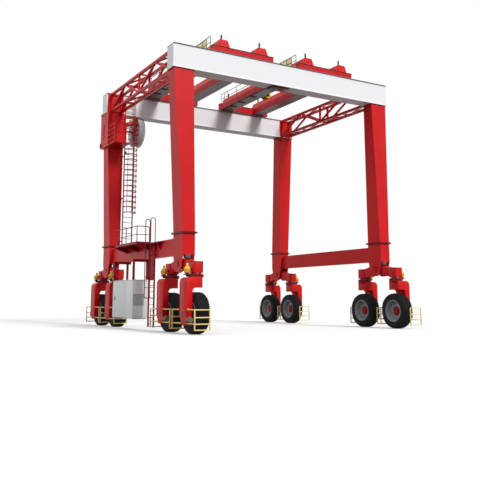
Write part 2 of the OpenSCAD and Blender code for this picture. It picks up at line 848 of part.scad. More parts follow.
// Two steering motors on one balance beam, turned to an acorn shape
module motors() {
  low = slew_z + slew_gap + motor_base;
  r = motor_d / 2;
  color([0.9, 0.75, 0.1])
    for (s = [-1, 1])
      translate([king_x + motor_out, pin_y + s * wheel_gap / 2, low])
        rotate_extrude()
          polygon(concat([[0, 0], [r * 0.5, 0], [r * 0.55, 55], [r, 60], [r, 150], [r * 0.9, 155],
            [r * 0.9, 195], [r, 200]], arc(0, 200, r, 0, 60, 6),
            [[r * 0.32, 360], [r * 0.32, 380], [r * 0.4, 390], [r * 0.4, 440], [0, 455]]));
}

// Front view of the fork: slewing head, round shoulder and arm outboard of the wheel
module fork_shape() {
  top = slew_z - fork_top;
  arch = tyre_d + fork_gap;
  polygon(concat([[-fork_back, arch], [-fork_back, top]],
    arc(arm_out - fork_r, top - fork_r, fork_r, 90, 0),
    [[arm_out, tip_z + tip_h], [arm_out - 50, tip_z], [arm_in + 70, tip_z], [arm_in, tip_z + 0.8 * tip_h]],
    arc(arm_in - arch_r, arch - arch_r, arch_r, 0, 90)));
}

// Guard frame in front of or behind a wheel, with its two arms
module wheel_guard(s) {
  t = guard_t;
  step = (guard_high - t - guard_low) / 3;
  ya = s * guard_y - t / 2;
  for (x = [-fork_back, arm_out - t])
    box_at(x, x + t, ya, ya + t, guard_low, guard_high);
  for (k = [0:3]) {
    z = guard_low + k * step;
    box_at(-fork_back, arm_out, ya, ya + t, z, z + t);
    if (k % 2 == 1)
      box_at(arm_out - 2.5 * t, arm_out - 1.5 * t, min(s * 100, s * guard_y), max(s * 100, s * guard_y),
        z, z + t);
  }
}

// Fork with its arm outboard of the wheel, its axle, king post, drive and wheel guards
module fork() {
  top = slew_z - fork_top;
  knee = tip_z + tip_h;
  color([0.8, 0.1, 0.1]) {
    intersection() {
      along_y(-arm_y / 2, arm_y / 2)
        fork_shape();
      along_x(-fork_back - 50, arm_out + 10)
        polygon([[-arm_y / 2, top], [arm_y / 2, top], [arm_y / 2, knee], [arm_tip / 2, tip_z],
          [-arm_tip / 2, tip_z], [-arm_y / 2, knee]]);
    }
    translate([0, 0, top - 5])
      cylinder(h = fork_top + 5, r = slew_d / 2);
    translate([0, 0, slew_z - 10])
      cylinder(h = king_h + 10, r = king_d / 2);
    rod_x(-60, arm_in + 10, 0, tyre_r, axle_d);
    translate([arm_in + arm_t / 2, arm_y / 2 - 60, drive_z])
      rotate([-90, 0, 0]) {
        cylinder(h = 110, d = drive_d);
        cylinder(h = 250, d = drive_d * 0.74);
      }
    for (s = [-1, 1])
      wheel_guard(s);
  }
}

// Wheel about an axis along X through the origin, outer side at positive X
module wheel() {
  r = tyre_r;
  w = tyre_w / 2;
  q = rim_d / 2;
  side = [[q, 60 - w], [q + 22, 22 - w], [q + 90, 4 - w], [q + 150, -w], [r - 130, 8 - w],
    [r - 60, 30 - w], [r - 26, 58 - w], [r - 10, 110 - w]];
  color([0.1, 0.1, 0.1])
    difference() {
      rotate([0, 90, 0])
        rotate_extrude()
          polygon(concat([[0, -90], [150, -90], [160, -30], [220, -12], [q - 90, 30], [q - 30, 90 - w]],
            side, [[r, -90], [r, 90]], [for (k = [len(side) - 1:-1:0]) [side[k][0], -side[k][1]]],
            [[q - 30, w - 90], [q - 90, 90], [240, 100], [210, 200], [0, 200]]));
      rod_x(-66, 600, 0, 0, axle_d + 2 * run_gap);
    }
}

module fork_at(sx, sy, s)
  mirrored(sx, sy)
    translate([king_x, pin_y + s * wheel_gap / 2, 0])
      fork();

module wheel_at(sx, sy, s)
  mirrored(sx, sy)
    translate([king_x, pin_y + s * wheel_gap / 2, tyre_r])
      wheel();

module front_girder()
  mirrored(1, -1)
    rear_girder();
module rear_girder()
  translate([0, girder_y, 0])
    girder();
module leg_a()
  mirrored(-1, -1)
    leg();
module leg_b()
  mirrored(-1, 1)
    leg();
module leg_c()
  mirrored(1, -1)
    leg();
module leg_d()
  leg();
module sill_left()
  sill(-1);
module sill_right()
  sill(1);
module truss_left()
  truss(-1);
module truss_right()
  truss(1);
module trolley_1_frame()
  trolley_frame(trolley_1);
module trolley_1_walkway()
  trolley_walkway(trolley_1);
module trolley_2_frame()
  trolley_frame(trolley_2);
module trolley_2_walkway()
  trolley_walkway(trolley_2);
module balance_a()
  mirrored(-1, -1)
    balance();
module balance_b()
  mirrored(-1, 1)
    balance();
module balance_c()
  mirrored(1, -1)
    balance();
module balance_d()
  balance();
module motors_a()
  mirrored(-1, -1)
    motors();
module motors_b()
  mirrored(-1, 1)
    motors();
module motors_c()
  mirrored(1, -1)
    motors();
module motors_d()
  motors();
module fork_a1()
  fork_at(-1, -1, 1);
module fork_a2()
  fork_at(-1, -1, -1);
module fork_b1()
  fork_at(-1, 1, 1);
module fork_b2()
  fork_at(-1, 1, -1);
module fork_c1()
  fork_at(1, -1, 1);
module fork_c2()
  fork_at(1, -1, -1);
module fork_d1()
  fork_at(1, 1, 1);
module fork_d2()
  fork_at(1, 1, -1);
module wheel_a1()
  wheel_at(-1, -1, 1);
module wheel_a2()
  wheel_at(-1, -1, -1);
module wheel_b1()
  wheel_at(-1, 1, 1);
module wheel_b2()
  wheel_at(-1, 1, -1);
module wheel_c1()
  wheel_at(1, -1, 1);
module wheel_c2()
  wheel_at(1, -1, -1);
module wheel_d1()
  wheel_at(1, 1, 1);
module wheel_d2()
  wheel_at(1, 1, -1);

front_girder();
rear_girder();
leg_a();
leg_b();
leg_c();
leg_d();
sill_left();
sill_right();
truss_left();
truss_right();
leg_box();
caged_ladder();
platform();
ground_ladder();
cabinet();
reel_bracket();
cable_reel();
trolley_1_frame();
trolley_1_walkway();
trolley_2_frame();
trolley_2_walkway();
balance_a();
balance_b();
balance_c();
balance_d();
motors_a();
motors_b();
motors_c();
motors_d();
fork_a1();
fork_a2();
fork_b1();
fork_b2();
fork_c1();
fork_c2();
fork_d1();
fork_d2();
wheel_a1();
wheel_a2();
wheel_b1();
wheel_b2();
wheel_c1();
wheel_c2();
wheel_d1();
wheel_d2();
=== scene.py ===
import math

import bmesh
import bpy
from mathutils import Matrix, Vector


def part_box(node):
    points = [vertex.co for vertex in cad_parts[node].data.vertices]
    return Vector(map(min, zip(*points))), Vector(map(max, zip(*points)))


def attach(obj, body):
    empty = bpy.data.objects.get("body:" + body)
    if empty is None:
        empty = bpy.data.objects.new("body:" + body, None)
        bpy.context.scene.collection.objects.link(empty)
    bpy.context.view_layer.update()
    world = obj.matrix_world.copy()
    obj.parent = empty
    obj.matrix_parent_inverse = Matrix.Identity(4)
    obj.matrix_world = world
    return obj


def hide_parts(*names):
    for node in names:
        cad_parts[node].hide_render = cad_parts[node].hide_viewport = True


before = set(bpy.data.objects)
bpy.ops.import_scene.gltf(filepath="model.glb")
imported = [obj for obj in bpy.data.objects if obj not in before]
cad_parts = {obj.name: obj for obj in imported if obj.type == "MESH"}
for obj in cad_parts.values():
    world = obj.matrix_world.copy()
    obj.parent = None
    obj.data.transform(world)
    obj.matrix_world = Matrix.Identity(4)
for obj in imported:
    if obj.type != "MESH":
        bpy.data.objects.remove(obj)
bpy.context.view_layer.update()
print("frame loaded")

camera = {
    "place": (-18.732, -31.883, 1.422),
    "yaw": 30.356,  # degrees from +Y towards +X
    "pitch": 9.869,
    "focal": 677.452,  # in pixels of the square picture
    "side": 480,
    "centre": (240.0, 182.0),
}


def addCamera(spec):
    data = bpy.data.cameras.new("camera")
    data.sensor_width = 36
    data.lens = spec["focal"] * data.sensor_width / spec["side"]
    half = spec["side"] / 2
    data.shift_x = (half - spec["centre"][0]) / spec["side"]
    data.shift_y = (spec["centre"][1] - half) / spec["side"]
    data.clip_end = 500
    yaw = math.radians(spec["yaw"])
    pitch = math.radians(spec["pitch"])
    level = math.cos(pitch)
    ahead = Vector((math.sin(yaw) * level, math.cos(yaw) * level, math.sin(pitch)))
    eye = bpy.data.objects.new("camera", data)
    bpy.context.scene.collection.objects.link(eye)
    eye.location = spec["place"]
    eye.rotation_euler = ahead.to_track_quat("-Z", "Y").to_euler()
    bpy.context.scene.camera = eye


addCamera(camera)


class Field:
    # A shader value: sums and products on it add their own Math nodes
    def __init__(self, tree, socket):
        self.tree = tree
        self.socket = socket

    def math(self, operation, first, second=None):
        node = self.tree.nodes.new("ShaderNodeMath")
        node.operation = operation
        for slot, value in enumerate((first, second)):
            if isinstance(value, Field):
                self.tree.links.new(value.socket, node.inputs[slot])
            elif value is not None:
                node.inputs[slot].default_value = value
        return Field(self.tree, node.outputs[0])

    def __add__(self, other):
        return self.math("ADD", self, other)

    def __mul__(self, other):
        return self.math("MULTIPLY", self, other)

    __radd__ = __add__
    __rmul__ = __mul__

    def above(self, edge):
        return self.math("GREATER_THAN", self, edge)

    def below(self, edge):
        return self.math("LESS_THAN", self, edge)


class Finish:
    # A material with one Principled shader and helpers for its nodes
    def __init__(self, name, rough=0.4, metal=0.0, coat=0.0, color=(0.5, 0.5, 0.5)):
        self.material = bpy.data.materials.new(name)
        self.material.use_nodes = True
        self.tree = self.material.node_tree
        self.shader = self.tree.nodes["Principled BSDF"]
        self.shader.inputs["Roughness"].default_value = rough
        self.shader.inputs["Metallic"].default_value = metal
        self.shader.inputs["Coat Weight"].default_value = coat
        self.shader.inputs["Coat Roughness"].default_value = 0.15
        self.shader.inputs["Base Color"].default_value = (*color, 1)

    def node(self, kind, settings=None, sockets=None, output=0):
        made = self.tree.nodes.new(kind)
        for key, value in (settings or {}).items():
            setattr(made, key, value)
        for key, value in (sockets or {}).items():
            if isinstance(value, Field):
                self.tree.links.new(value.socket, made.inputs[key])
            else:
                made.inputs[key].default_value = value
        return Field(self.tree, made.outputs[output])

    def place(self):
        return self.node("ShaderNodeTexCoord", output="Object")

    def axis(self, name):
        return self.node("ShaderNodeSeparateXYZ", None, {"Vector": self.place()}, name)

    def facing(self, name):
        normal = self.node("ShaderNodeNewGeometry", output="Normal")
        return self.node("ShaderNodeSeparateXYZ", None, {"Vector": normal}, name)

    def stretched(self, scale):
        return self.node("ShaderNodeMapping", None, {"Vector": self.place(), "Scale": scale})

    def noise(self, scale, detail=4.0, rough=0.55, vector=None):
        sockets = {"Scale": scale, "Detail": detail, "Roughness": rough,
                   "Vector": vector or self.place()}
        return self.node("ShaderNodeTexNoise", None, sockets)

    def blend(self, factor, first, second):
        mix = self.tree.nodes.new("ShaderNodeMix")
        mix.data_type = "RGBA"
        for slot, value in ((0, factor), (6, first), (7, second)):
            if isinstance(value, Field):
                self.tree.links.new(value.socket, mix.inputs[slot])
            elif slot == 0:
                mix.inputs[slot].default_value = value
            else:
                mix.inputs[slot].default_value = (*value, 1)
        return Field(self.tree, mix.outputs[2])

    def feed(self, name, value):
        self.tree.links.new(value.socket, self.shader.inputs[name])

    def bump(self, height, strength, distance):
        sockets = {"Height": height, "Strength": strength, "Distance": distance}
        self.feed("Normal", self.node("ShaderNodeBump", None, sockets))


def ramp(finish, value, low, high):
    # 0 at low and 1 at high, straight between and flat beyond
    sockets = {"Value": value, "From Min": low, "From Max": high}
    return finish.node("ShaderNodeMapRange", {"clamp": True}, sockets)


paint = {
    "grain": 260.0,  # orange peel of the sprayed coat
    "cloud": 0.7,
    "dustHeight": 0.35,
    "gloss": 0.16,
}


def paintFinish(name, color, shade, rough, coat=0.0, dust=0.25, streak=0.12, zones=(), under=None):
    # Zones are (lowest z, highest z, colour) of the parts painted or left otherwise, some of them
    # bands of painted shade, and under is the colour of the faces that look down, a painted
    # reflection of the pale floor
    finish = Finish(name, rough, 0.0, coat)
    finish.shader.inputs["Specular IOR Level"].default_value = paint["gloss"]
    cloud = finish.noise(paint["cloud"], 5.0)
    tone = finish.blend(ramp(finish, cloud, 0.3, 0.7), shade, color)
    height = finish.axis("Z")
    for low, high, other in zones:
        tone = finish.blend(height.above(low) * height.below(high), tone, other)
    # painted reflection: the faces that look down take the under colour, for the pale floor seen in
    # them
    if under:
        tone = finish.blend(finish.facing("Z").below(-0.9), tone, under)
    runs = finish.noise(1.0, 6.0, 0.6, finish.stretched((6.0, 6.0, 0.35)))
    tone = finish.blend(ramp(finish, runs, 0.55, 0.8) * streak, tone, (0.12, 0.1, 0.09))
    upward = ramp(finish, finish.facing("Z"), 0.75, 1.0)
    patch = ramp(finish, finish.noise(3.0, 5.0), 0.4, 0.75)
    tone = finish.blend(upward * patch * dust, tone, (0.42, 0.4, 0.37))
    finish.feed("Base Color", tone)
    finish.feed("Roughness", finish.noise(9.0, 3.0) * 0.12 + (rough - 0.06) + upward * patch * 0.2)
    finish.bump(finish.noise(paint["grain"], 1.0), 0.05, 0.002)
    return finish.material


def metalFinish(name, color, rough, metal=1.0, spangle=0.15):
    finish = Finish(name, rough, metal)
    cells = finish.node("ShaderNodeTexVoronoi", None, {"Scale": 28.0, "Vector": finish.place()},
                        "Color")
    grain = finish.node("ShaderNodeSeparateColor", None, {"Color": cells})
    dark = tuple(part * 0.72 for part in color)
    finish.feed("Base Color", finish.blend(grain * spangle * 2.0, color, dark))
    finish.feed("Roughness", finish.noise(22.0, 4.0) * 0.2 + (rough - 0.1))
    finish.bump(finish.noise(60.0, 3.0), 0.08, 0.002)
    return finish.material


def rubberFinish(name, color):
    finish = Finish(name, 0.78)
    finish.shader.inputs["Specular IOR Level"].default_value = 0.15
    dust = ramp(finish, finish.noise(4.0, 6.0, 0.65), 0.45, 0.8)
    low = ramp(finish, finish.axis("Z"), paint["dustHeight"], 0.0)
    tone = finish.blend(dust * 0.12 + low * 0.08, color, (0.12, 0.115, 0.105))
    finish.feed("Base Color", tone)
    finish.feed("Roughness", finish.noise(14.0, 4.0) * 0.25 + 0.62)
    finish.bump(finish.noise(90.0, 5.0), 0.2, 0.003)
    return finish.material


finishes = {
    "red": paintFinish("red_enamel", (0.61, 0.008, 0.01), (0.54, 0.006, 0.008), 0.36),
    "sillRed": paintFinish("sill_red_enamel", (0.61, 0.008, 0.01), (0.54, 0.006, 0.008), 0.36,
                           zones=((4.3135, 4.347, (0.15, 0.005, 0.009)),)),
    "railRed": paintFinish("rail_maroon_enamel", (0.24, 0.03, 0.04), (0.19, 0.024, 0.032), 0.42),
    # On the leg the band at z 11.904–11.95, the head plate under the girder, is painted shade: near
    # black for the dark recess between the girder and the leg's top.
    "legRed": paintFinish("leg_red_enamel", (0.61, 0.008, 0.01), (0.54, 0.006, 0.008), 0.36,
                          zones=((4.34, 4.3795, (0.15, 0.005, 0.009)),
                                 (9.272, 9.288, (0.48, 0.008, 0.01)),
                                 (10.272, 10.288, (0.48, 0.008, 0.01)),
                                 (11.904, 11.95, (0.12, 0.006, 0.008)))),
    # The grey under colour on the trolley's down-facing faces is a painted reflection of the pale
    # floor.
    "trolleyRed": paintFinish("trolley_red_enamel", (0.5, 0.01, 0.014), (0.44, 0.008, 0.011), 0.38,
                              zones=((13.1, 13.154, (0.2, 0.2, 0.2)),
                                     (13.57, 13.93, (0.6, 0.008, 0.01))), under=(0.24, 0.2, 0.2)),
    "deepRed": paintFinish("deep_red_enamel", (0.34, 0.006, 0.012), (0.27, 0.005, 0.009), 0.42),
    "maroon": paintFinish("maroon_enamel", (0.075, 0.004, 0.007), (0.055, 0.003, 0.005), 0.45, 0.0,
                          0.1),
    "bogieRed": paintFinish("bogie_red_enamel", (0.61, 0.008, 0.01), (0.54, 0.006, 0.008), 0.36,
                            zones=((2.375, 2.553, (0.16, 0.005, 0.01)),)),
    # On the girders the band at z 13.058–13.0895 along the top flange's edge is painted shade: a
    # near-black line for the shadow line at the girder's top.
    "white": paintFinish("white_enamel", (0.82, 0.82, 0.845), (0.8, 0.8, 0.82), 0.45, 0.0, 0.25,
                         0.03,
                         zones=((13.0905, 13.2, (0.3, 0.3, 0.3)),
                                (13.058, 13.0895, (0.14, 0.14, 0.145)))),
    "yellow": paintFinish("yellow_enamel", (0.78, 0.5, 0.04), (0.7, 0.43, 0.03), 0.38),
    "paleYellow": paintFinish("guard_yellow_enamel", (0.86, 0.66, 0.26), (0.8, 0.6, 0.22), 0.4),
    "cream": paintFinish("cream_infill_enamel", (0.95, 0.9, 0.52), (0.92, 0.86, 0.46), 0.45),
    "orange": paintFinish("orange_lacquer", (0.85, 0.29, 0.04), (0.8, 0.25, 0.03), 0.35),
    "grey": paintFinish("light_grey_enamel", (0.8, 0.81, 0.81), (0.77, 0.78, 0.78), 0.45, 0.0, 0.2,
                        0.06),
    "darkGrey": paintFinish("dark_grey_enamel", (0.13, 0.135, 0.14), (0.1, 0.105, 0.11), 0.45),
    "black": paintFinish("black_enamel", (0.02, 0.02, 0.022), (0.015, 0.015, 0.017), 0.4),
    "lightGrey": paintFinish("pale_grey_enamel", (0.85, 0.86, 0.86), (0.82, 0.83, 0.83), 0.45, 0.0,
                             0.2, 0.06),
    "louvreGrey": paintFinish("louvre_grey_enamel", (0.45, 0.46, 0.46), (0.4, 0.41, 0.41), 0.5),
    "railGrey": paintFinish("rail_grey_enamel", (0.16, 0.14, 0.14), (0.12, 0.1, 0.1), 0.45, 0.0),
    "tan": paintFinish("motor_tan_enamel", (0.24, 0.19, 0.13), (0.19, 0.15, 0.1), 0.45, 0.1),
    "rim": paintFinish("rim_grey_enamel", (0.3, 0.31, 0.32), (0.25, 0.26, 0.27), 0.42),
    "zinc": metalFinish("galvanised_steel", (0.42, 0.43, 0.44), 0.48, 0.7),
    "rubber": rubberFinish("tyre_rubber", (0.009, 0.009, 0.01)),
}
print("finishes made")

nodeFinish = {
    "girder": "white",
    "leg_box": "red",
    "leg": "legRed",
    "sill": "sillRed",
    "truss": "red",
    "caged": "zinc",
    "ground": "deepRed",
    "reel_bracket": "red",
    "cable": "zinc",
    "trolley": "trolleyRed",
    "balance": "red",
    "platform": "deepRed",
    "cabinet": "grey",
    "motors": "yellow",
    "fork": "red",
    "wheel": "rubber",
}
for nodeName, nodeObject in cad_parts.items():
    for start, finishName in nodeFinish.items():
        if start in nodeName:
            nodeObject.data.materials.clear()
            nodeObject.data.materials.append(finishes[finishName])
            break
print("nodes painted")


def turned(centre, radius, start, stop, steps=6):
    # Points of an arc in a plane, in degrees
    points = []
    for step in range(steps + 1):
        angle = math.radians(start + (stop - start) * step / steps)
        points.append((centre[0] + radius * math.cos(angle), centre[1] + radius * math.sin(angle)))
    return points


def narrowed(outline, amount):
    # The outline with each side moved inwards by the same amount
    area = sum(a[0] * b[1] - b[0] * a[1] for a, b in zip(outline, outline[1:] + outline[:1]))
    turn = 1 if area > 0 else -1
    points = []
    for index, point in enumerate(outline):
        here = Vector(point)
        before = (here - Vector(outline[index - 1])).normalized()
        after = (Vector(outline[(index + 1) % len(outline)]) - here).normalized()
        first = Vector((-before.y, before.x)) * turn
        second = Vector((-after.y, after.x)) * turn
        middle = (first + second).normalized()
        points.append(tuple(here + middle * (amount / max(0.3, middle.dot(first)))))
    return points


axes = {"x": Matrix(((0, 0, 1, 0), (1, 0, 0, 0), (0, 1, 0, 0), (0, 0, 0, 1))),
        "y": Matrix(((1, 0, 0, 0), (0, 0, 1, 0), (0, 1, 0, 0), (0, 0, 0, 1))),
        "z": Matrix.Identity(4)}


class Shape:
    # A mesh that grows from bmesh operators
    def __init__(self):
        self.bm = bmesh.new()

    def soften(self, verts, edge, segments=2):
        edges = {item for vert in verts for item in vert.link_edges}
        bmesh.ops.bevel(self.bm, geom=list(edges), offset=edge, segments=segments, profile=0.5,
                        affect="EDGES", material=-1, clamp_overlap=True)

    def box(self, low, high, edge=0.0, segments=2):
        low, high = Vector(low), Vector(high)
        place = Matrix.Translation((low + high) / 2) @ Matrix.Diagonal((*(high - low), 1))
        made = bmesh.ops.create_cube(self.bm, size=1, matrix=place)
        if edge:
            self.soften(made["verts"], edge, segments)

    def rod(self, start, stop, radius, sides=16, tip=None, edge=0.0):
        start, stop = Vector(start), Vector(stop)
        way = stop - start
        place = Matrix.Translation((start + stop) / 2) @ way.to_track_quat("Z",
            "Y").to_matrix().to_4x4()
        made = bmesh.ops.create_cone(self.bm, cap_ends=True, segments=sides, radius1=radius,
                                     radius2=radius if tip is None else tip, depth=way.length,
                                     matrix=place)
        if edge:
            rims = [item for item in self.edgesOf(made["verts"]) if len(item.link_faces) == 2
                    and max(len(face.verts) for face in item.link_faces) == sides]
            bmesh.ops.bevel(self.bm, geom=rims, offset=edge, segments=2, profile=0.5,
                            affect="EDGES", material=-1)

    def edgesOf(self, verts):
        return list({item for vert in verts for item in vert.link_edges})

    def slab(self, outline, axis, low, high, edge=0.0, segments=2):
        # An outline drawn across an axis and stretched along it
        place = axes[axis]
        verts = [self.bm.verts.new(place @ Vector((point[0], point[1], low))) for point in outline]
        sides = [self.bm.edges.new(pair) for pair in zip(verts, verts[1:] + verts[:1])]
        face = bmesh.ops.contextual_create(self.bm, geom=sides)["faces"][0]
        made = bmesh.ops.extrude_face_region(self.bm, geom=[face])
        moved = [item for item in made["geom"] if isinstance(item, bmesh.types.BMVert)]
        bmesh.ops.translate(self.bm, verts=moved, vec=place.to_3x3() @ Vector((0, 0, high - low)))
        if edge:
            self.soften(verts + moved, edge, segments)
        return verts + moved

    def lathe(self, profile, axis="z", centre=(0, 0, 0), steps=48):
        # Profile points are (radius, height), turned about an axis through the centre
        place = Matrix.Translation(centre) @ axes[axis]
        verts = [self.bm.verts.new(place @ Vector((radius, 0, height))) for radius,
                 height in profile]
        edges = [self.bm.edges.new(pair) for pair in zip(verts, verts[1:])]
        bmesh.ops.spin(self.bm, geom=verts + edges, cent=centre,
                       axis=place.to_3x3() @ Vector((0, 0, 1)),
                       dvec=(0, 0, 0), angle=math.tau, steps=steps, use_merge=True,
                       use_duplicate=False)
        bmesh.ops.remove_doubles(self.bm, verts=self.bm.verts, dist=0.00002)

    def pipe(self, points, radius, bend=0.1, sides=10):
        # A tube through the points, with round bends
        points = [Vector(point) for point in points]
        way = (points[1] - points[0]).normalized()
        place = Matrix.Translation(points[0]) @ way.to_track_quat("Z", "Y").to_matrix().to_4x4()
        ring = bmesh.ops.create_circle(self.bm, cap_ends=True, segments=sides, radius=radius,
                                       matrix=place)
        edges = self.edgesOf(ring["verts"])
        here = points[0]
        for index in range(1, len(points)):
            corner = points[index]
            last = index == len(points) - 1
            ahead = None if last else (points[index + 1] - corner).normalized()
            angle = 0.0 if last else way.angle(ahead)
            back = 0.0 if last else bend * math.tan(angle / 2)
            made = bmesh.ops.extrude_edge_only(self.bm, edges=edges)
            fresh = [item for item in made["geom"] if isinstance(item, bmesh.types.BMVert)]
            stop = corner - way * back
            bmesh.ops.translate(self.bm, verts=fresh, vec=stop - here)
            edges = [item for item in made["geom"] if isinstance(item, bmesh.types.BMEdge)
                     and all(vert in fresh for vert in item.verts)]
            here = stop
            if last or angle < 0.01:
                continue
            turn = way.cross(ahead).normalized()
            centre = stop + turn.cross(way) * bend
            steps = max(2, round(math.degrees(angle) / 15))
            spun = bmesh.ops.spin(self.bm, geom=edges, cent=centre, axis=turn, dvec=(0, 0, 0),
                                  angle=angle, steps=steps, use_merge=False, use_duplicate=False)
            edges = [item for item in spun["geom_last"] if isinstance(item, bmesh.types.BMEdge)]
            here = corner + ahead * back
            way = ahead
        bmesh.ops.contextual_create(self.bm, geom=edges)

    def repeat(self, count, centre, axis, builder):
        # What the builder adds, copied round an axis
        before = set(self.bm.verts)
        builder()
        fresh = [vert for vert in self.bm.verts if vert not in before]
        faces = list({face for vert in fresh for face in vert.link_faces})
        edges = self.edgesOf(fresh)
        for step in range(1, count):
            made = bmesh.ops.duplicate(self.bm, geom=fresh + edges + faces)
            verts = [item for item in made["geom"] if isinstance(item, bmesh.types.BMVert)]
            turn = Matrix.Rotation(math.tau * step / count, 3, Vector(axis))
            bmesh.ops.rotate(self.bm, verts=verts, cent=centre, matrix=turn)

    def breakEdges(self, width, angle=40, segments=2):
        limit = math.radians(angle)
        edges = [edge for edge in self.bm.edges
                 if len(edge.link_faces) == 2 and edge.calc_face_angle() > limit]
        bmesh.ops.bevel(self.bm, geom=edges, offset=width, segments=segments, profile=0.5,
                        affect="EDGES", material=-1, clamp_overlap=True)

    def plated(self, outline, axis, low, high, rim=0.022, depth=0.008, edge=0.003):
        # A boxed plate form: side plates stand a little proud of the wrapping plate
        self.slab(narrowed(outline, depth), axis, low + rim * 0.5, high - rim * 0.5)
        self.slab(outline, axis, low, low + rim)
        self.slab(outline, axis, high - rim, high)
        if edge:
            self.breakEdges(edge)

    def bolts(self, count, centre, normal, ring, size, height, first=0.0):
        # A ring of bolts about a straight axis through the centre
        normal, centre = Vector(normal), Vector(centre)
        side = normal.orthogonal().normalized()
        for step in range(count):
            turn = Matrix.Rotation(math.tau * step / count + first, 3, normal)
            self.rod(centre + turn @ side * ring, centre + turn @ side * ring + normal * height,
                     size, 6)

    def nut(self, place, normal, size, height):
        place, normal = Vector(place), Vector(normal)
        self.rod(place - normal * height * 0.2, place + normal * height * 0.6, size, 6)
        self.rod(place, place + normal * height, size * 0.55, 8)

    def piece(self, name, finish, body, slot, place=None, smooth=32, stands=(), keep=False):
        bm = self.bm.copy()
        if place is not None:
            bmesh.ops.transform(bm, matrix=place, verts=bm.verts)
        bmesh.ops.recalc_face_normals(bm, faces=bm.faces)
        mesh = bpy.data.meshes.new(name)
        bm.to_mesh(mesh)
        bm.free()
        if not keep:
            self.bm.free()
        mesh.polygons.foreach_set("use_smooth", [smooth > 0] * len(mesh.polygons))
        if smooth > 0:
            mesh.set_sharp_from_angle(angle=math.radians(smooth))
        mesh.materials.append(finishes[finish])
        made = bpy.data.objects.new(name, mesh)
        bpy.context.scene.collection.objects.link(made)
        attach(made, body)
        for node in stands:
            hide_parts(node)
        return made


# Every wheel sits in a corner frame: X outboard, Y away from the middle of the crane
corners = {"a": (-1, -1), "b": (-1, 1), "c": (1, -1), "d": (1, 1)}


def wheelPlace(name):
    low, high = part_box("wheel_" + name)
    middle = (low + high) / 2
    signX, signY = corners[name[0]]
    return Matrix.Translation(middle) @ Matrix.Diagonal((signX, signY, 1, 1))


wheelNames = [corner + number for corner in corners for number in "12"]
wheelLow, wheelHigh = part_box("wheel_d1")
tyreRadius = (wheelHigh.z - wheelLow.z) / 2

wheel = {
    "width": 0.575,
    "rim": 0.515,
    "blocks": 46,  # tread blocks round the tyre
    "blockDepth": 0.028,
    "nuts": 20,
    "boltRing": 0.375,
}


def tyreShape(spec):
    shape = Shape()
    half = spec["width"] / 2
    rim = spec["rim"]
    crown = tyreRadius - spec["blockDepth"]
    side = [(rim, 0.06 - half), (rim + 0.02, 0.022 - half), (rim + 0.05, 0.012 - half),
            (rim + 0.055, 0.004 - half), (rim + 0.09, 0.004 - half), (rim + 0.15, -half),
            (rim + 0.19, 0.002 - half), (rim + 0.2, 0.008 - half), (rim + 0.22, 0.008 - half),
            (crown - 0.1, 0.016 - half), (crown - 0.055, 0.034 - half),
            (crown - 0.02, 0.062 - half)]
    profile = side + [(crown, 0.1 - half), (crown, half - 0.1)]
    profile += [(radius, -height) for radius, height in reversed(side)]
    shape.lathe(profile + [profile[0]], "x", steps=spec["blocks"] * 2)
    pitch = math.tau * crown / spec["blocks"]
    rows = ((0.0, 0.088, 0.0), (-0.103, 0.09, 0.5), (0.103, 0.09, 0.5), (-0.2, 0.078, 0.0),
            (0.2, 0.078, 0.0))
    for middle, width, shift in rows:
        def block(middle=middle, width=width, shift=shift):
            outer = abs(middle) > 0.15
            low = crown - 0.012
            top = tyreRadius - (0.008 if outer else 0.002)
            made = bmesh.ops.create_cube(shape.bm, size=1,
                                         matrix=Matrix.Translation((middle, 0, (low + top) / 2))
                                         @ Matrix.Diagonal((width, pitch * 0.78, top - low, 1)))
            for vert in made["verts"]:
                if vert.co.z > low + 0.001:
                    vert.co.x = middle + (vert.co.x - middle) * 0.9
                    vert.co.y *= 0.88
                vert.co.y += (vert.co.x - middle) * (0.35 if middle >= 0 else -0.35)
                if outer and (vert.co.x - middle) * middle > 0:
                    vert.co.z -= 0.012
            if shift:
                turn = Matrix.Rotation(math.tau * shift / spec["blocks"], 3, "X")
                bmesh.ops.rotate(shape.bm, verts=made["verts"], cent=(0, 0, 0), matrix=turn)
        shape.repeat(spec["blocks"], (0, 0, 0), (1, 0, 0), block)
    lug = pitch * 0.3
    for sign in (-1, 1):
        def shoulder(sign=sign):
            shape.box((sign * (half - 0.03) - 0.028, -lug, crown - 0.09),
                      (sign * (half - 0.03) + 0.012, lug, crown - 0.022),
                      0.006, 1)
        shape.repeat(spec["blocks"], (0, 0, 0), (1, 0, 0), shoulder)
    return shape


def rimShape(spec):
    shape = Shape()
    half = spec["width"] / 2
    rim = spec["rim"]
    inner = [(rim + 0.022, 0.03 - half), (rim + 0.03, 0.014 - half), (rim + 0.018, 0.004 - half),
             (rim - 0.012, 0.012 - half), (rim - 0.02, 0.04 - half), (rim - 0.028, 0.075 - half),
             (rim - 0.055, 0.11 - half), (rim - 0.07, -0.09), (0.445, -0.03), (0.41, -0.006),
             (0.3, -0.03),
             (0.24, -0.034)]
    outer = [(0.24, 0.04), (0.3, 0.03), (0.41, 0.05), (0.445, 0.08), (rim - 0.07, 0.1),
             (rim - 0.055, half - 0.11), (rim - 0.028, half - 0.075), (rim - 0.02, half - 0.04),
             (rim - 0.012, half - 0.012), (rim + 0.018, half - 0.004), (rim + 0.03, half - 0.014),
             (rim + 0.022, half - 0.03)]
    shape.lathe(inner + outer + [inner[0]], "x", steps=72)
    ring = spec["boltRing"]

    def stud():
        shape.nut((-0.02, 0, ring), (-1, 0, 0), 0.02, 0.04)
        shape.nut((0.045, 0, ring), (1, 0, 0), 0.02, 0.03)
    shape.repeat(spec["nuts"], (0, 0, 0), (1, 0, 0), stud)
    return shape


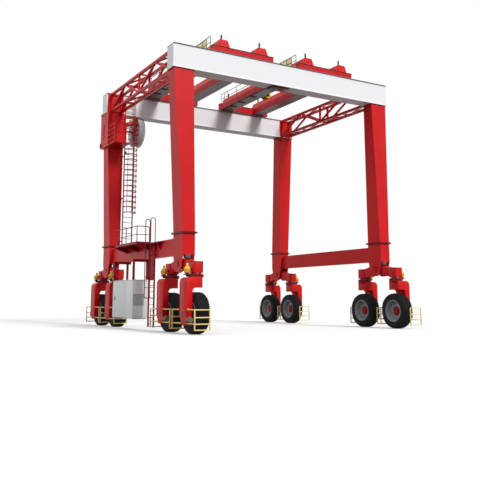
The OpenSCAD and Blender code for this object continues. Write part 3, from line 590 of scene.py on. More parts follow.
def hubShape():
    shape = Shape()
    profile = [(0.0, -0.09), (0.055, -0.09), (0.06, -0.096), (0.075, -0.096), (0.08, -0.088),
               (0.13, -0.085),
               (0.15, -0.075), (0.16, -0.034), (0.215, -0.03), (0.225, -0.024), (0.235, -0.034),
               (0.25, -0.03),
               (0.255, 0.02), (0.24, 0.1), (0.225, 0.11), (0.215, 0.19), (0.2, 0.2), (0.0, 0.2)]
    shape.lathe(profile, "x", steps=48)

    def bolt():
        shape.nut((-0.085, 0, 0.115), (-1, 0, 0), 0.011, 0.014)
    shape.repeat(8, (0, 0, 0), (1, 0, 0), bolt)

    def outerBolt():
        shape.nut((-0.028, 0, 0.195), (-1, 0, 0), 0.013, 0.016)
    shape.repeat(12, (0, 0, 0), (1, 0, 0), outerBolt)
    return shape


tyre, rim, hub = tyreShape(wheel), rimShape(wheel), hubShape()
for name in wheelNames:
    place = wheelPlace(name)
    body = "spin_" + name
    tyre.piece("tyre_" + name, "rubber", body, "tyre", place, 30, ["wheel_" + name], True)
    rim.piece("rim_" + name, "rim", body, "reel_metal", place, 30, (), True)
    hub.piece("hub_" + name, "deepRed", body, "red_paint", place, 30, (), True)
print("wheels made")


def steerPlace(name):
    low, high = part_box("wheel_" + name)
    middle = (low + high) / 2
    signX, signY = corners[name[0]]
    return Matrix.Translation((middle.x, middle.y, 0)) @ Matrix.Diagonal((signX, signY, 1, 1))


fork = {
    "back": -0.15,
    "out": 0.595,
    "inner": 0.305,
    "arch": 1.925,
    "top": 2.37,
    "shoulder": 0.22,
    "archRound": 0.15,
    "half": 0.34,  # half the width above the taper
    "foot": 0.175,
    "waist": 0.78,
    "low": 0.37,
    "axle": 0.875,
}


def forkShape(spec):
    shape = Shape()
    back, out, inner, top, arch = (spec[key] for key in ("back", "out", "inner", "top", "arch"))
    bend, curve = spec["shoulder"], spec["archRound"]
    outline = [(back, arch), (back, top)] + turned((out - bend, top - bend), bend, 90, 0)
    outline += [(out, spec["waist"]), (out - 0.05, spec["low"]), (inner + 0.07, spec["low"]),
                (inner, 0.698)]
    outline += turned((inner - curve, arch - curve), curve, 0, 90)
    half = spec["half"]
    shape.plated(outline, "y", -half, half, edge=0)
    every = shape.bm.verts[:] + shape.bm.edges[:] + shape.bm.faces[:]
    bmesh.ops.bisect_plane(shape.bm, geom=every, plane_co=(0, 0, spec["waist"]), plane_no=(0, 0, 1))
    for vert in shape.bm.verts:  # the arm narrows towards the axle's foot
        if vert.co.z < spec["waist"] - 0.001:
            fall = (spec["waist"] - vert.co.z) / (spec["waist"] - spec["low"])
            vert.co.y *= 1 - fall * (1 - spec["foot"] / half)
    shape.breakEdges(0.004)
    shape.lathe([(0, 2.36), (0.325, 2.36), (0.338, 2.372), (0.338, 2.445), (0.33, 2.455),
                 (0.13, 2.455),
                 (0.13, 2.9), (0, 2.9)], steps=40)
    axle = spec["axle"]
    shape.lathe([(0, 0.215), (0.1, 0.215), (0.105, 0.22), (0.105, 0.26), (0.14, 0.268),
                 (0.15, 0.31), (0, 0.31)],
                "x", (0, 0, axle), 32)
    return shape


def axleCapShape(spec):
    shape = Shape()
    out = spec["out"]
    shape.lathe([(0, out - 0.02), (0.15, out - 0.02), (0.15, out - 0.008), (0.14, out - 0.001),
                 (0, out - 0.001)],
                "x", (0, 0, spec["axle"]), 32)
    return shape


def forkBoltShape(spec):
    shape = Shape()
    shape.bolts(10, (spec["out"] - 0.012, 0, spec["axle"]), (1, 0, 0), 0.115, 0.013, 0.0115)
    shape.bolts(8, (0.218, 0, spec["axle"]), (-1, 0, 0), 0.085, 0.011, 0.012)
    return shape


guard = {
    "reach": 1.07,  # from the wheel's middle to each frame
    "bars": (0.213, 0.451, 0.713, 1.02),
    "left": -0.125,
    "right": 0.57,
    "tube": 0.046,
}


def guardShape(spec):
    shape = Shape()
    half = spec["tube"] / 2
    low, top = spec["bars"][0], spec["bars"][-1]
    for sign in (-1, 1):
        y = sign * spec["reach"]
        for x in (spec["left"], spec["right"]):
            shape.box((x - half, y - half, low - half), (x + half, y + half, top + half), 0.005, 2)
        for z in spec["bars"]:
            shape.box((spec["left"] + half - 0.002, y - half, z - half),
                      (spec["right"] - half + 0.002, y + half, z + half), 0.005, 2)
        shape.rod((0.54, sign * 0.3, top), (0.54, y - sign * half, top), 0.026, 14)
        shape.rod((0.5, sign * 0.17, spec["bars"][1]), (0.5, y - sign * half, spec["bars"][1]),
                  0.026, 14)
    return shape


def sleeveShape(spec):
    shape = Shape()
    for sign in (-1, 1):
        for x, y, z in ((0.54, 0.335, spec["bars"][-1]), (0.5, 0.21, spec["bars"][1])):
            shape.rod((x, sign * (y - 0.01), z), (x, sign * (y + 0.012), z), 0.05, 16, edge=0.004)
            shape.rod((x, sign * (y + 0.01), z), (x, sign * (y + 0.12), z), 0.041, 16, edge=0.006)
    return shape


def driveShape():
    # Travel motor on the side of the arm, with cooling ribs
    shape = Shape()
    shape.lathe([(0, 0.27), (0.115, 0.27), (0.12, 0.278), (0.12, 0.34), (0.11, 0.35),
                 (0.098, 0.352),
                 (0.098, 0.49), (0.105, 0.495), (0.105, 0.52), (0.085, 0.534), (0, 0.534)], "y",
                 (0.46, 0, 0.6), 28)

    def rib():
        shape.box((0.456, 0.355, 0.69), (0.464, 0.488, 0.712))
    shape.repeat(18, (0.46, 0, 0.6), (0, 1, 0), rib)
    shape.box((0.43, 0.38, 0.7), (0.5, 0.46, 0.745), 0.006, 2)
    return shape


forkPiece, axleCap, forkBolts = forkShape(fork), axleCapShape(fork), forkBoltShape(fork)
guardPiece, sleeves, drive = guardShape(guard), sleeveShape(guard), driveShape()
for name in wheelNames:
    place = steerPlace(name)
    body = "steer_" + name
    forkPiece.piece("arm_" + name, "bogieRed", body, "red_paint", place, 32, ["fork_" + name], True)
    axleCap.piece("axle_cap_" + name, "deepRed", body, "red_paint", place, 30, (), True)
    forkBolts.piece("arm_bolts_" + name, "zinc", body, "reel_metal", place, 30, (), True)
    guardPiece.piece("guard_" + name, "paleYellow", body, "yellow_paint", place, 32, (), True)
    sleeves.piece("sleeves_" + name, "orange", body, "yellow_paint", place, 32, (), True)
    drive.piece("travel_motor_" + name, "tan", body, "reel_metal", place, 30, (), True)
print("wheel arms made")


def cornerPlace(corner):
    low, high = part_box("balance_" + corner)
    middle = (low + high) / 2
    signX, signY = corners[corner]
    return Matrix.Translation((signX * balance["kingX"], middle.y, 0)) @ Matrix.Diagonal((signX,
        signY, 1, 1))


balance = {
    "kingX": 5.675,
    "king": 1.2015,  # from the pin to each king post
    "pinZ": 2.97,
    "half": 0.2,
    "post": 0.23,
    "postLow": 2.55,
    "postTop": 3.04,
    "motorX": 0.41,
}


def balanceShape(spec):
    shape = Shape()
    pin = spec["pinZ"]
    side = [(0.25, -0.23), (0.699, -0.35), (1.4315, -0.41), (1.4315, 0.07), (0.9515, 0.07),
            (0.5, 0.18), (0.22, 0.25)]
    outline = [(y, z + pin) for y, z in side] + [(-y, z + pin) for y, z in reversed(side)]
    shape.plated(outline, "x", -spec["half"], spec["half"], 0.02, 0.01)
    post, low, top = spec["post"], spec["postLow"], spec["postTop"]
    for sign in (-1, 1):
        y = sign * spec["king"]
        shape.box((-post, y - post, low), (post, y + post, top - 0.014), 0.012, 3)
        shape.box((-post - 0.011, y - post - 0.011, top - 0.016),
                  (post + 0.011, y + post + 0.011, top), 0.004, 2)
        shape.lathe([(0, 2.461), (0.33, 2.461), (0.338, 2.467), (0.338, 2.486), (0.33, 2.491),
                     (0.255, 2.492),
                     (0.232, 2.555), (0, 2.555)], "z", (0, y, 0), 40)
        tongue = [(0.0, y - 0.15), (spec["motorX"], y - 0.15)]
        tongue += [(x, z) for x, z in turned((spec["motorX"], y), 0.15, -90, 90, 8)][1:]
        tongue += [(0.0, y + 0.15)]
        shape.slab(tongue, "z", 2.462, 2.498, 0.004, 2)
        shape.lathe([(0, top - 0.002), (0.15, top - 0.002), (0.15, top), (0.14, top + 0.004),
                     (0, top + 0.004)],
                    "z", (0, y, 0), 28)
    # round boss about the pin on each side plate
    for sign in (-1, 1):
        shape.lathe([(0.1, sign * 0.19), (0.17, sign * 0.19), (0.17, sign * 0.208),
                     (0.16, sign * 0.212),
                     (0.1, sign * 0.212), (0.1, sign * 0.19)], "x", (0, 0, pin), 32)
    return shape


def balanceBoltShape(spec):
    shape = Shape()
    for sign in (-1, 1):
        y = sign * spec["king"]
        shape.bolts(12, (0, y, 2.489), (0, 0, 1), 0.295, 0.015, 0.018, 0.13)
        shape.bolts(8, (0, y, spec["postTop"]), (0, 0, 1), 0.115, 0.012, 0.012)
        for x in (-0.19, 0.19):
            for step in (-0.19, 0.19):
                shape.rod((x, y + step, spec["postTop"] - 0.002),
                          (x, y + step, spec["postTop"] + 0.01), 0.013, 6)
    return shape


def balanceDarkShape(spec):
    # Covers and pinions that read dark
    shape = Shape()
    for sign in (-1, 1):
        y = sign * spec["king"]
        shape.lathe([(0, 0.225), (0.062, 0.225), (0.065, 0.229), (0.065, 0.24), (0.058, 0.246),
                     (0, 0.246)],
                    "x", (0, y + 0.07, 2.7), 24)
        shape.lathe([(0, 2.385), (0.05, 2.385), (0.057, 2.392), (0.057, 2.455), (0.04, 2.465),
                     (0, 2.465)],
                    "z", (spec["motorX"], y, 0), 20)
        shape.lathe([(0, 2.496), (0.125, 2.496), (0.125, 2.512), (0.075, 2.518), (0.07, 2.552),
                     (0, 2.552)],
                    "z", (spec["motorX"], y, 0), 28)
        shape.bolts(8, (spec["motorX"], y, 2.511), (0, 0, 1), 0.103, 0.012, 0.014)
    return shape


def motorSkirtShape(spec):
    shape = Shape()
    for sign in (-1, 1):
        shape.lathe([(0, 2.548), (0.118, 2.548), (0.128, 2.556), (0.134, 2.59), (0.139, 2.64),
                     (0.139, 2.652),
                     (0.126, 2.656), (0, 2.656)], "z", (spec["motorX"], sign * spec["king"], 0), 36)
    return shape


def motorShape(spec):
    shape = Shape()
    dome = [(0.14 * math.cos(math.radians(angle)), 2.7 + 0.14 * math.sin(math.radians(angle)))
            for angle in range(0, 66, 8)]
    for sign in (-1, 1):
        shape.lathe([(0, 2.65), (0.125, 2.65), (0.127, 2.692), (0.139, 2.695)] + dome
                    + [(0.052, 2.84), (0.046, 2.856), (0, 2.856)], "z",
                    (spec["motorX"], sign * spec["king"], 0), 36)
        for step in range(3):
            shape.box((spec["motorX"] + 0.118, sign * spec["king"] - 0.03 + step * 0.03 - 0.004,
                       2.6),
                      (spec["motorX"] + 0.146, sign * spec["king"] - 0.03 + step * 0.03 + 0.004,
                       2.72), 0.002, 1)
    return shape


def motorKnobShape(spec):
    shape = Shape()
    for sign in (-1, 1):
        shape.lathe([(0, 2.85), (0.044, 2.85), (0.045, 2.878), (0.055, 2.884), (0.056, 2.925),
                     (0.046, 2.945),
                     (0.024, 2.955), (0, 2.955)], "z", (spec["motorX"], sign * spec["king"], 0), 24)
    return shape


parts = (("balance_beam", balanceShape, "bogieRed", "red_paint", "balance_"),
         ("balance_bolts", balanceBoltShape, "zinc", "reel_metal", None),
         ("balance_covers", balanceDarkShape, "black", "reel_metal", None),
         ("motor_skirt", motorSkirtShape, "orange", "yellow_paint", None),
         ("motor_dome", motorShape, "yellow", "yellow_paint", "motors_"),
         ("motor_knob", motorKnobShape, "paleYellow", "yellow_paint", None))
for title, maker, finish, slot, stands in parts:
    shape = maker(balance)
    for corner in corners:
        shape.piece(title + "_" + corner, finish, "bogie_" + corner, slot, cornerPlace(corner), 32,
                    [stands + corner] if stands else (), True)
print("bogies made")

cabinet = {
    "left": -6.5,
    "right": -5.7,
    "near": -0.75,
    "far": 2.0,
    "low": 0.51,
    "top": 2.39,
    "seam": 0.2,  # between the narrow and the wide door
    "beams": ((-0.75, -0.65), (1.9, 2.0)),
    "beamLow": 3.25,
    "beamTop": 3.38,
    "slats": 13,
}


def cabinetShape(spec):
    shape = Shape()
    left, right, near, far, low, top = (spec[key] for key in ("left", "right", "near", "far", "low",
        "top"))
    shape.box((left + 0.02, near + 0.004, low + 0.035), (right, far - 0.004, top - 0.03), 0.008, 2)
    shape.box((left, near - 0.006, top - 0.036), (right + 0.006, far + 0.006, top), 0.006, 2)
    for y in (near + 0.1, far - 0.1, 0.6):
        shape.box((left + 0.05, y - 0.05, low), (right - 0.05, y + 0.05, low + 0.04), 0.004, 1)
    for y in (near + 0.06, 0.62, 1.3):  # panels on the back
        shape.box((right - 0.004, y, low + 0.12), (right + 0.006, y + 0.6, top - 0.12), 0.004, 1)
    for x in (left + 0.14, right - 0.14):
        shape.rod((x, 0.2, top - 0.01), (x, 0.2, top + 0.03), 0.014, 6)
    return shape


def doorShape(spec, wide):
    shape = Shape()
    left, low, top = spec["left"], spec["low"], spec["top"]
    start, stop = (spec["seam"] + 0.008, spec["far"] - 0.012) if wide else (spec["near"] + 0.01,
        spec["seam"] - 0.008)
    shape.box((left + 0.008, start, low + 0.055), (left + 0.024, stop, top - 0.05), 0.005, 2)
    for z in (low + 0.3, (low + top) / 2, top - 0.3):
        shape.rod((left + 0.008, spec["seam"] + (0.02 if wide else -0.02), z - 0.04),
                  (left + 0.008, spec["seam"] + (0.02 if wide else -0.02), z + 0.04), 0.008, 8)
    return shape


def louvreShape(spec):
    shape = Shape()
    near = spec["near"]
    low, top = 1.15, 1.71
    left, right = spec["left"] + 0.04, spec["right"] - 0.2
    for x in (left, right - 0.016):
        shape.box((x, near - 0.006, low), (x + 0.016, near + 0.01, top), 0.003, 1)
    for z in (low, top - 0.016):
        shape.box((left, near - 0.006, z), (right, near + 0.01, z + 0.016), 0.003, 1)
    for step in range(spec["slats"]):
        z = low + 0.02 + (top - low - 0.04) * step / spec["slats"]
        shape.slab([(near - 0.004, z), (near - 0.002, z), (near + 0.012, z + 0.036),
                    (near + 0.01, z + 0.038)], "x",
                   left + 0.01, right - 0.01)
    shape.box((left + 0.01, near + 0.002, low + 0.01), (right - 0.01, near + 0.006, top - 0.01))
    return shape


def handleShape(spec):
    shape = Shape()
    left = spec["left"]
    shape.box((left + 0.002, 1.63, 1.4), (left + 0.012, 1.73, 1.6), 0.004, 2)
    shape.box((left, 1.665, 1.44), (left + 0.006, 1.695, 1.56), 0.002, 2)
    shape.rod((left + 0.001, -0.68, 1.45), (left + 0.012, -0.68, 1.45), 0.02, 14)
    return shape


def hangerShape(spec):
    # Two hanger beams under the sill with four posts down to the cabinet
    shape = Shape()
    low, top = spec["beamLow"], spec["beamTop"]
    for start, stop in spec["beams"]:
        middle = (start + stop) / 2
        half = (stop - start) / 2
        section = [(middle - half, low), (middle + half, low), (middle + half, low + 0.014),
                   (middle + 0.012, low + 0.016),
                   (middle + 0.012, top - 0.016), (middle + half, top - 0.014),
                   (middle + half, top),
                   (middle - half, top), (middle - half, top - 0.014),
                   (middle - 0.012, top - 0.016),
                   (middle - 0.012, low + 0.016), (middle - half, low + 0.014)]
        shape.slab(section, "x", spec["left"], -5.555, 0.003, 1)
        for x in (spec["left"], spec["right"] - 0.1):
            shape.box((x, start, spec["top"] + 0.006), (x + 0.1, stop, low + 0.006), 0.01, 3)
            shape.box((x, start - 0.006, spec["top"] - 0.002),
                      (x + 0.13, stop + 0.006, spec["top"] + 0.014), 0.003, 1)
            for step in (-0.035, 0.035):
                shape.rod((x + 0.115, middle + step, spec["top"]),
                          (x + 0.115, middle + step, spec["top"] + 0.026), 0.01, 6)
            shape.box((x + 0.004, start + 0.002, low + 0.01), (x + 0.012, stop - 0.002, top - 0.01),
                      0.002, 1)
        shape.bolts(4, (-5.68, middle, top - 0.016), (0, 0, -1), 0.05, 0.012, 0.014, 0.8)
    return shape


cabinetShape(cabinet).piece("cabinet_shell", "grey", "frame", "light_grey_paint", None, 32,
                            ["cabinet"])
doorShape(cabinet, True).piece("cabinet_wide_door", "grey", "frame", "light_grey_paint")
doorShape(cabinet, False).piece("cabinet_narrow_door", "lightGrey", "frame", "light_grey_paint")
louvreShape(cabinet).piece("cabinet_louvre", "louvreGrey", "frame", "light_grey_paint")
handleShape(cabinet).piece("cabinet_handle", "black", "frame", "reel_metal")
hangerShape(cabinet).piece("cabinet_hangers", "deepRed", "frame", "red_paint")
print("cabinet made")

deck = {
    "left": -6.5,
    "right": -5.795,  # outer face of the sill
    "near": -1.1,
    "far": 1.85,
    "low": 4.08,
    "top": 4.13,
    "rail": 0.85,
    "bar": 0.021,
}


def deckShape(spec):
    shape = Shape()
    left, right, near, far, low, top = (spec[key] for key in ("left", "right", "near", "far", "low",
        "top"))
    shape.box((left + 0.008, near + 0.008, top - 0.012), (right - 0.001, far - 0.008, top - 0.004),
              0.001, 1)
    for y in (near, far - 0.008):
        shape.box((left, y, low), (right - 0.001, y + 0.008, top), 0.002, 1)
    for x in (left, right - 0.012):
        shape.box((x, near, low), (x + 0.008, far, top), 0.002, 1)
    for step in range(1, 6):
        y = near + (far - near) * step / 6
        shape.box((left + 0.006, y - 0.004, low + 0.004), (right - 0.008, y + 0.004, top - 0.008))
    for y in (near + 0.01, near + (far - near) / 2, far - 0.07):
        outline = [(left + 0.004, top - 0.045), (left + 0.004, top - 0.09),
                   (right - 0.02, top - 0.32), (right, top - 0.32),
                   (right, top - 0.045)]
        shape.slab(outline, "y", y + 0.026, y + 0.034, 0.002, 1)
        rim = [(left + 0.004, top - 0.088), (right - 0.02, top - 0.318), (right - 0.02, top - 0.33),
               (left + 0.004, top - 0.1)]
        shape.slab(rim, "y", y, y + 0.06, 0.002, 1)
        shape.box((right - 0.008, y, top - 0.34), (right - 0.001, y + 0.06, top - 0.05), 0.002, 1)
        shape.bolts(2, (right - 0.009, y + 0.012, top - 0.19), (-1, 0, 0), 0.1, 0.01, 0.012,
                    math.pi / 2)
    shape.box((left + 0.002, near + 0.03, top - 0.002), (left + 0.008, far - 0.03, top + 0.08),
              0.002, 1)
    shape.box((left + 0.03, near + 0.002, top - 0.002), (right - 0.03, near + 0.008, top + 0.08),
              0.002, 1)
    return shape


def deckRailShape(spec):
    shape = Shape()
    bar = spec["bar"]
    x, near, far = spec["left"] + 0.026, spec["near"] + 0.026, spec["far"] - 0.026
    high = spec["top"] + spec["rail"] - bar
    middle = spec["top"] + spec["rail"] / 2
    inside = spec["right"] - 0.03
    shape.pipe([(inside, near, spec["top"] - 0.004), (inside, near, high), (x, near, high),
                (x, far, high),
                (x, far, spec["top"] - 0.004)], bar, 0.09, 12)
    shape.rod((inside, near, middle), (x, near, middle), bar * 0.8, 10)
    shape.rod((x, near, middle), (x, far, middle), bar * 0.8, 10)
    for place in ((x, near), (x, (near + far) / 2)):
        shape.rod((*place, spec["top"] - 0.004), (*place, high), bar, 12)
    for place in ((x, near), (x, (near + far) / 2), (x, far), (inside, near)):
        shape.box((place[0] - 0.026, place[1] - 0.026, spec["top"] - 0.006),
                  (place[0] + 0.026, place[1] + 0.026, spec["top"] + 0.006), 0.003, 1)
    return shape


ladder = {
    "x": -5.87,
    "sides": (-1.89, -1.25),
    "low": 0.15,
    "top": 4.13,
    "gap": 0.3,
    "reach": 0.23,  # from the stringer to the straight run of a handrail
    "hook": 1.06,
    "railLow": 1.5,
    "screenLow": 2.34,
    "screenTop": 3.4,
}


def ladderShape(spec):
    shape = Shape()
    x = spec["x"]
    for y in spec["sides"]:
        inward = 1 if y < -1.6 else -1
        shape.slab([(x - 0.04, y - 0.018), (x + 0.04, y - 0.018), (x + 0.04, y + 0.018),
                    (x - 0.04, y + 0.018)], "z",
                   spec["low"], spec["top"], 0.006, 2)
        shape.box((x - 0.05, y - 0.03, spec["low"]), (x + 0.05, y + 0.03, spec["low"] + 0.012),
                  0.003, 1)
        for z in (3.5, 3.93):
            shape.box((x + 0.036, y - 0.018, z), (-5.796, y + 0.018, z + 0.08), 0.004, 1)
            shape.rod((x - 0.04, y + inward * 0.002, z + 0.04),
                      (x - 0.05, y + inward * 0.002, z + 0.04), 0.012, 6)
    shape.box((x - 0.006, spec["sides"][0] + 0.016, spec["screenLow"]),
              (x + 0.006, spec["sides"][1] - 0.016, spec["screenTop"]), 0.003, 1)
    for z in (spec["screenLow"] + 0.01, spec["screenTop"] - 0.03):
        shape.box((x + 0.004, spec["sides"][0] + 0.016, z),
                  (x + 0.03, spec["sides"][1] - 0.016, z + 0.02), 0.003, 1)
    low, top = 4.07, 4.13
    shape.box((x - 0.118, -2.668, top - 0.014), (-5.796, -1.102, top - 0.002), 0.002, 1)
    for y in (-2.67, -1.11):
        shape.box((x - 0.12, y, low), (-5.796, y + 0.008, top), 0.002, 1)
    shape.box((x - 0.12, -2.67, low), (x - 0.112, -1.102, top), 0.002, 1)
    for y in (-1.91, -2.39):
        outline = [(x - 0.11, 4.08), (-5.8, 3.71), (-5.796, 3.71), (-5.796, 4.08)]
        shape.slab(outline, "y", y - 0.008, y + 0.008, 0.002, 1)
    return shape


def rungShape(spec):
    shape = Shape()
    for step in range(13):
        z = spec["low"] + 0.15 + step * spec["gap"]
        shape.rod((spec["x"], spec["sides"][0] - 0.02, z), (spec["x"], spec["sides"][1] + 0.02, z),
                  0.014, 12)
    return shape


def handrailShape(spec):
    shape = Shape()
    x, reach = spec["x"], spec["reach"]
    top = spec["top"] + spec["hook"] + reach / 2
    for y in spec["sides"]:
        shape.pipe([(x, y, 3.64), (x, y, top), (x - reach, y, top), (x - reach, y, spec["railLow"]),
                    (x, y, spec["railLow"])],
                   0.021, 0.112, 14)
        for z in (2.0, 2.5, 3.7):
            shape.rod((x, y, z), (x - reach, y, z), 0.014, 10)
    return shape


deckShape(deck).piece("platform_floor", "deepRed", "frame", "red_paint", None, 32, ["platform"])
deckRailShape(deck).piece("platform_rail", "railRed", "frame", "red_paint")
ladderShape(ladder).piece("ladder_frame", "deepRed", "frame", "red_paint", None, 32,
                          ["ground_ladder"])
rungShape(ladder).piece("ladder_rungs", "deepRed", "frame", "red_paint")
handrailShape(ladder).piece("ladder_handrails", "railRed", "frame", "red_paint")
print("platform and ladder made")

cage = {
    "sides": (-5.34, -4.78),
    "y": 3.99,
    "low": 4.39,
    "top": 12.89,
    "gap": 0.3,
    "centre": (-5.06, 3.748),
    "radius": 0.37,
    "firstHoop": 6.2,
    "lastHoop": 11.6,
    "open": (9.9, 10.95),  # hoops left open over the rest platform
    "boxLow": 9.95,
    "boxFront": 3.9,
}


def cageLadderShape(spec, low, top, first):
    shape = Shape()
    y = spec["y"]
    for x in spec["sides"]:
        shape.box((x - 0.025, y - 0.035, low), (x + 0.025, y + 0.035, top), 0.005, 2)
    if first:
        for z in (4.59, 7.0, 9.41):
            shape.box((-5.45, y, z), (-5.36, y + 0.03, z + 0.06), 0.004, 1)
            shape.box((-5.45, y, z), (-5.42, 4.196, z + 0.06), 0.004, 1)
            for x in spec["sides"]:
                shape.rod((x, y - 0.034, z + 0.03), (x, y - 0.044, z + 0.03), 0.012, 6)
    return shape


def cageRungShape(spec):
    shape = Shape()
    step = 0
    while spec["low"] + 0.1 + step * spec["gap"] < spec["top"] - 0.05:
        z = spec["low"] + 0.1 + step * spec["gap"]
        shape.rod((spec["sides"][0] - 0.02, spec["y"], z), (spec["sides"][1] + 0.02, spec["y"], z),
                  0.015, 12)
        step += 1
    return shape


def hoopShape(spec):
    # Flat bar hoops, each swept from a small section about the middle of the cage
    shape = Shape()
    centre, radius = spec["centre"], spec["radius"]
    count = round((spec["lastHoop"] - spec["firstHoop"]) / spec["gap"])
    end = math.degrees(math.asin((spec["y"] - 0.036 - centre[1]) / radius))
    for step in range(count + 1):
        z = spec["firstHoop"] + step * spec["gap"]
        start, stop = -180 - end, end  # from the left stringer round the front to the right one
        if spec["open"][0] < z < spec["open"][1]:
            start = -90
        elif z > spec["boxLow"]:
            start = -180 - math.degrees(math.asin((spec["boxFront"] - 0.004 - centre[1]) / radius))
        angle = math.radians(start)
        across = Vector((math.cos(angle), math.sin(angle), 0))
        corner = [Vector((*centre, z)) + across * (radius + side) + Vector((0, 0, up))
                  for side, up in ((-0.009, 0.001), (0.009, 0.001), (0.009, 0.049),
                                   (-0.009, 0.049))]
        verts = [shape.bm.verts.new(place) for place in corner]
        sides = [shape.bm.edges.new(pair) for pair in zip(verts, verts[1:] + verts[:1])]
        bmesh.ops.contextual_create(shape.bm, geom=sides)
        steps = max(4, round((stop - start) / 9))
        spun = bmesh.ops.spin(shape.bm, geom=sides, cent=(*centre, z), axis=(0, 0, 1),
                              dvec=(0, 0, 0),
                              angle=math.radians(stop - start), steps=steps, use_merge=False,
                              use_duplicate=False)
        last = [item for item in spun["geom_last"] if isinstance(item, bmesh.types.BMEdge)]
        bmesh.ops.contextual_create(shape.bm, geom=last)
    for angle in (-135, -90, -45):
        x = centre[0] + (radius - 0.014) * math.cos(math.radians(angle))
        y = centre[1] + (radius - 0.014) * math.sin(math.radians(angle))
        shape.box((x - 0.012, y - 0.012, 6.2), (x + 0.012, y + 0.012,
                                                9.85 if angle < -90 else 11.65), 0.003, 1)
    return shape


# The stringers are one pair cut at the box's bottom: below it they take the deep red as painted
# shade under the rest platform and box, above it the lit red.
cageLadderShape(cage, cage["low"], cage["boxLow"], True).piece("cage_ladder_low", "deepRed",
    "frame", "red_paint",
                                                              None, 32, ["caged_ladder"])
cageLadderShape(cage, cage["boxLow"], cage["top"], False).piece("cage_ladder_top", "red", "frame",
    "red_paint")
cageRungShape(cage).piece("cage_rungs", "railGrey", "frame", "red_paint")
hoopShape(cage).piece("cage_hoops", "deepRed", "frame", "red_paint")
print("caged ladder made")

reel = {
    "y": 4.4805,
    "z": 11.05,
    "left": -4.64,
    "right": -4.26,
    "radius": 0.86,
    "drum": 0.45,
    "wound": 0.79,
    "spokes": 16,
}


def reelRimShape(spec):
    shape = Shape()
    centre = (0, spec["y"], spec["z"])
    radius = spec["radius"]
    for low, high in ((spec["left"], spec["left"] + 0.024), (spec["right"] - 0.024, spec["right"])):
        shape.lathe([(radius - 0.05, low), (radius - 0.008, low), (radius, low + 0.006),
                     (radius, high - 0.006),
                     (radius - 0.008, high), (radius - 0.05, high), (radius - 0.05, low)], "x",
                     centre, 64)
        shape.lathe([(0.07, low), (0.2, low), (0.2, high), (0.07, high), (0.07, low)], "x", centre,
                    32)

        def spoke(low=low, high=high):
            shape.box((low + 0.002, spec["y"] - 0.012, spec["z"] + 0.18),
                      (high - 0.002, spec["y"] + 0.012,
                      spec["z"] + radius - 0.04), 0.003, 1)
        shape.repeat(spec["spokes"], centre, (1, 0, 0), spoke)
    return shape


def woundShape(spec):
    # Cable wound on the drum, one ridge for each turn
    shape = Shape()
    low, high = spec["left"] + 0.026, spec["right"] - 0.026
    turns = 9
    profile = [(0.3, low)]
    for turn in range(turns):
        start = low + (high - low) * turn / turns
        width = (high - low) / turns
        for part in range(5):
            profile.append((spec["wound"] + 0.012 * math.sin(math.pi * part / 4),
                            start + width * (0.06 + 0.22 * part)))
    profile += [(0.3, high), (0.3, low)]
    shape.lathe(profile, "x", (0, spec["y"], spec["z"]), 64)
    return shape


def reelHubShape(spec):
    shape = Shape()
    centre = (0, spec["y"], spec["z"])
    shape.lathe([(0.062, spec["left"]), (0.11, spec["left"]), (0.11, spec["left"] + 0.02),
                 (0.32, spec["left"] + 0.03),
                 (0.32, spec["right"] - 0.03), (0.11, spec["right"] - 0.02), (0.11, spec["right"]),
                 (0.062, spec["right"]), (0.062, spec["left"])], "x", centre, 36)
    shape.bolts(10, (spec["left"] + 0.0, spec["y"], spec["z"]), (1, 0, 0), 0.16, 0.012, 0.02)
    return shape


def reelDriveShape():
    # Geared motor that turns the reel, on a bracket from the leg
    shape = Shape()
    shape.lathe([(0, -4.99), (0.085, -4.99), (0.09, -4.98), (0.09, -4.79), (0.105, -4.785),
                 (0.105, -4.75), (0, -4.75)],
                "x", (0, 4.27, 11.62), 24)
    shape.box((-4.78, 4.14, 11.5), (-4.67, 4.4, 11.72), 0.02, 3)
    for step in range(7):
        x = -4.965 + step * 0.026
        shape.lathe([(0.085, x), (0.098, x), (0.098, x + 0.008), (0.085, x + 0.008), (0.085, x)],
                    "x",
                    (0, 4.27, 11.62), 24)
    return shape


def reelBracketShape():
    shape = Shape()
    shape.slab([(-5.44, 11.455), (-4.66, 11.455), (-4.66, 11.47), (-5.44, 11.47)], "y", 4.12, 4.42,
               0.003, 1)
    for y in (4.13, 4.4):
        shape.slab([(-5.42, 11.2), (-5.38, 11.2), (-4.7, 11.44), (-4.7, 11.46), (-5.42, 11.46)],
                   "y", y, y + 0.01, 0.002, 1)
    shape.box((-4.79, 4.19, 11.465), (-4.67, 4.35, 11.51), 0.004, 1)
    return shape


reelRimShape(reel).piece("reel_rims", "darkGrey", "reel", "reel_metal", None, 32, ["cable_reel"])
woundShape(reel).piece("reel_wound_cable", "lightGrey", "reel", "reel_metal")
reelHubShape(reel).piece("reel_hub", "zinc", "reel", "reel_metal")
reelDriveShape().piece("reel_drive", "yellow", "frame", "yellow_paint")
reelBracketShape().piece("reel_drive_bracket", "red", "frame", "red_paint")
print("reel made")

trolley = {
    "half": 1.73,
    "walkInner": -1.51,
    "end": 4.088,
    "floor": 13.47,
    "low": 13.155,
    "top": 14.13,
    "middle": 13.83,
    "posts": (-1, -0.9, -0.79, -0.52, 0, 0.52, 0.79, 0.9, 1),
    "crossings": (-1.155, 1.045),
    "ribs": 13,
    "wheels": (-1.3, 1.3),  # x of the rail wheels' bearings
    "bearingEnd": 4.402,  # y of the face that the caps sit on
    "bearingZ": 13.29,
}


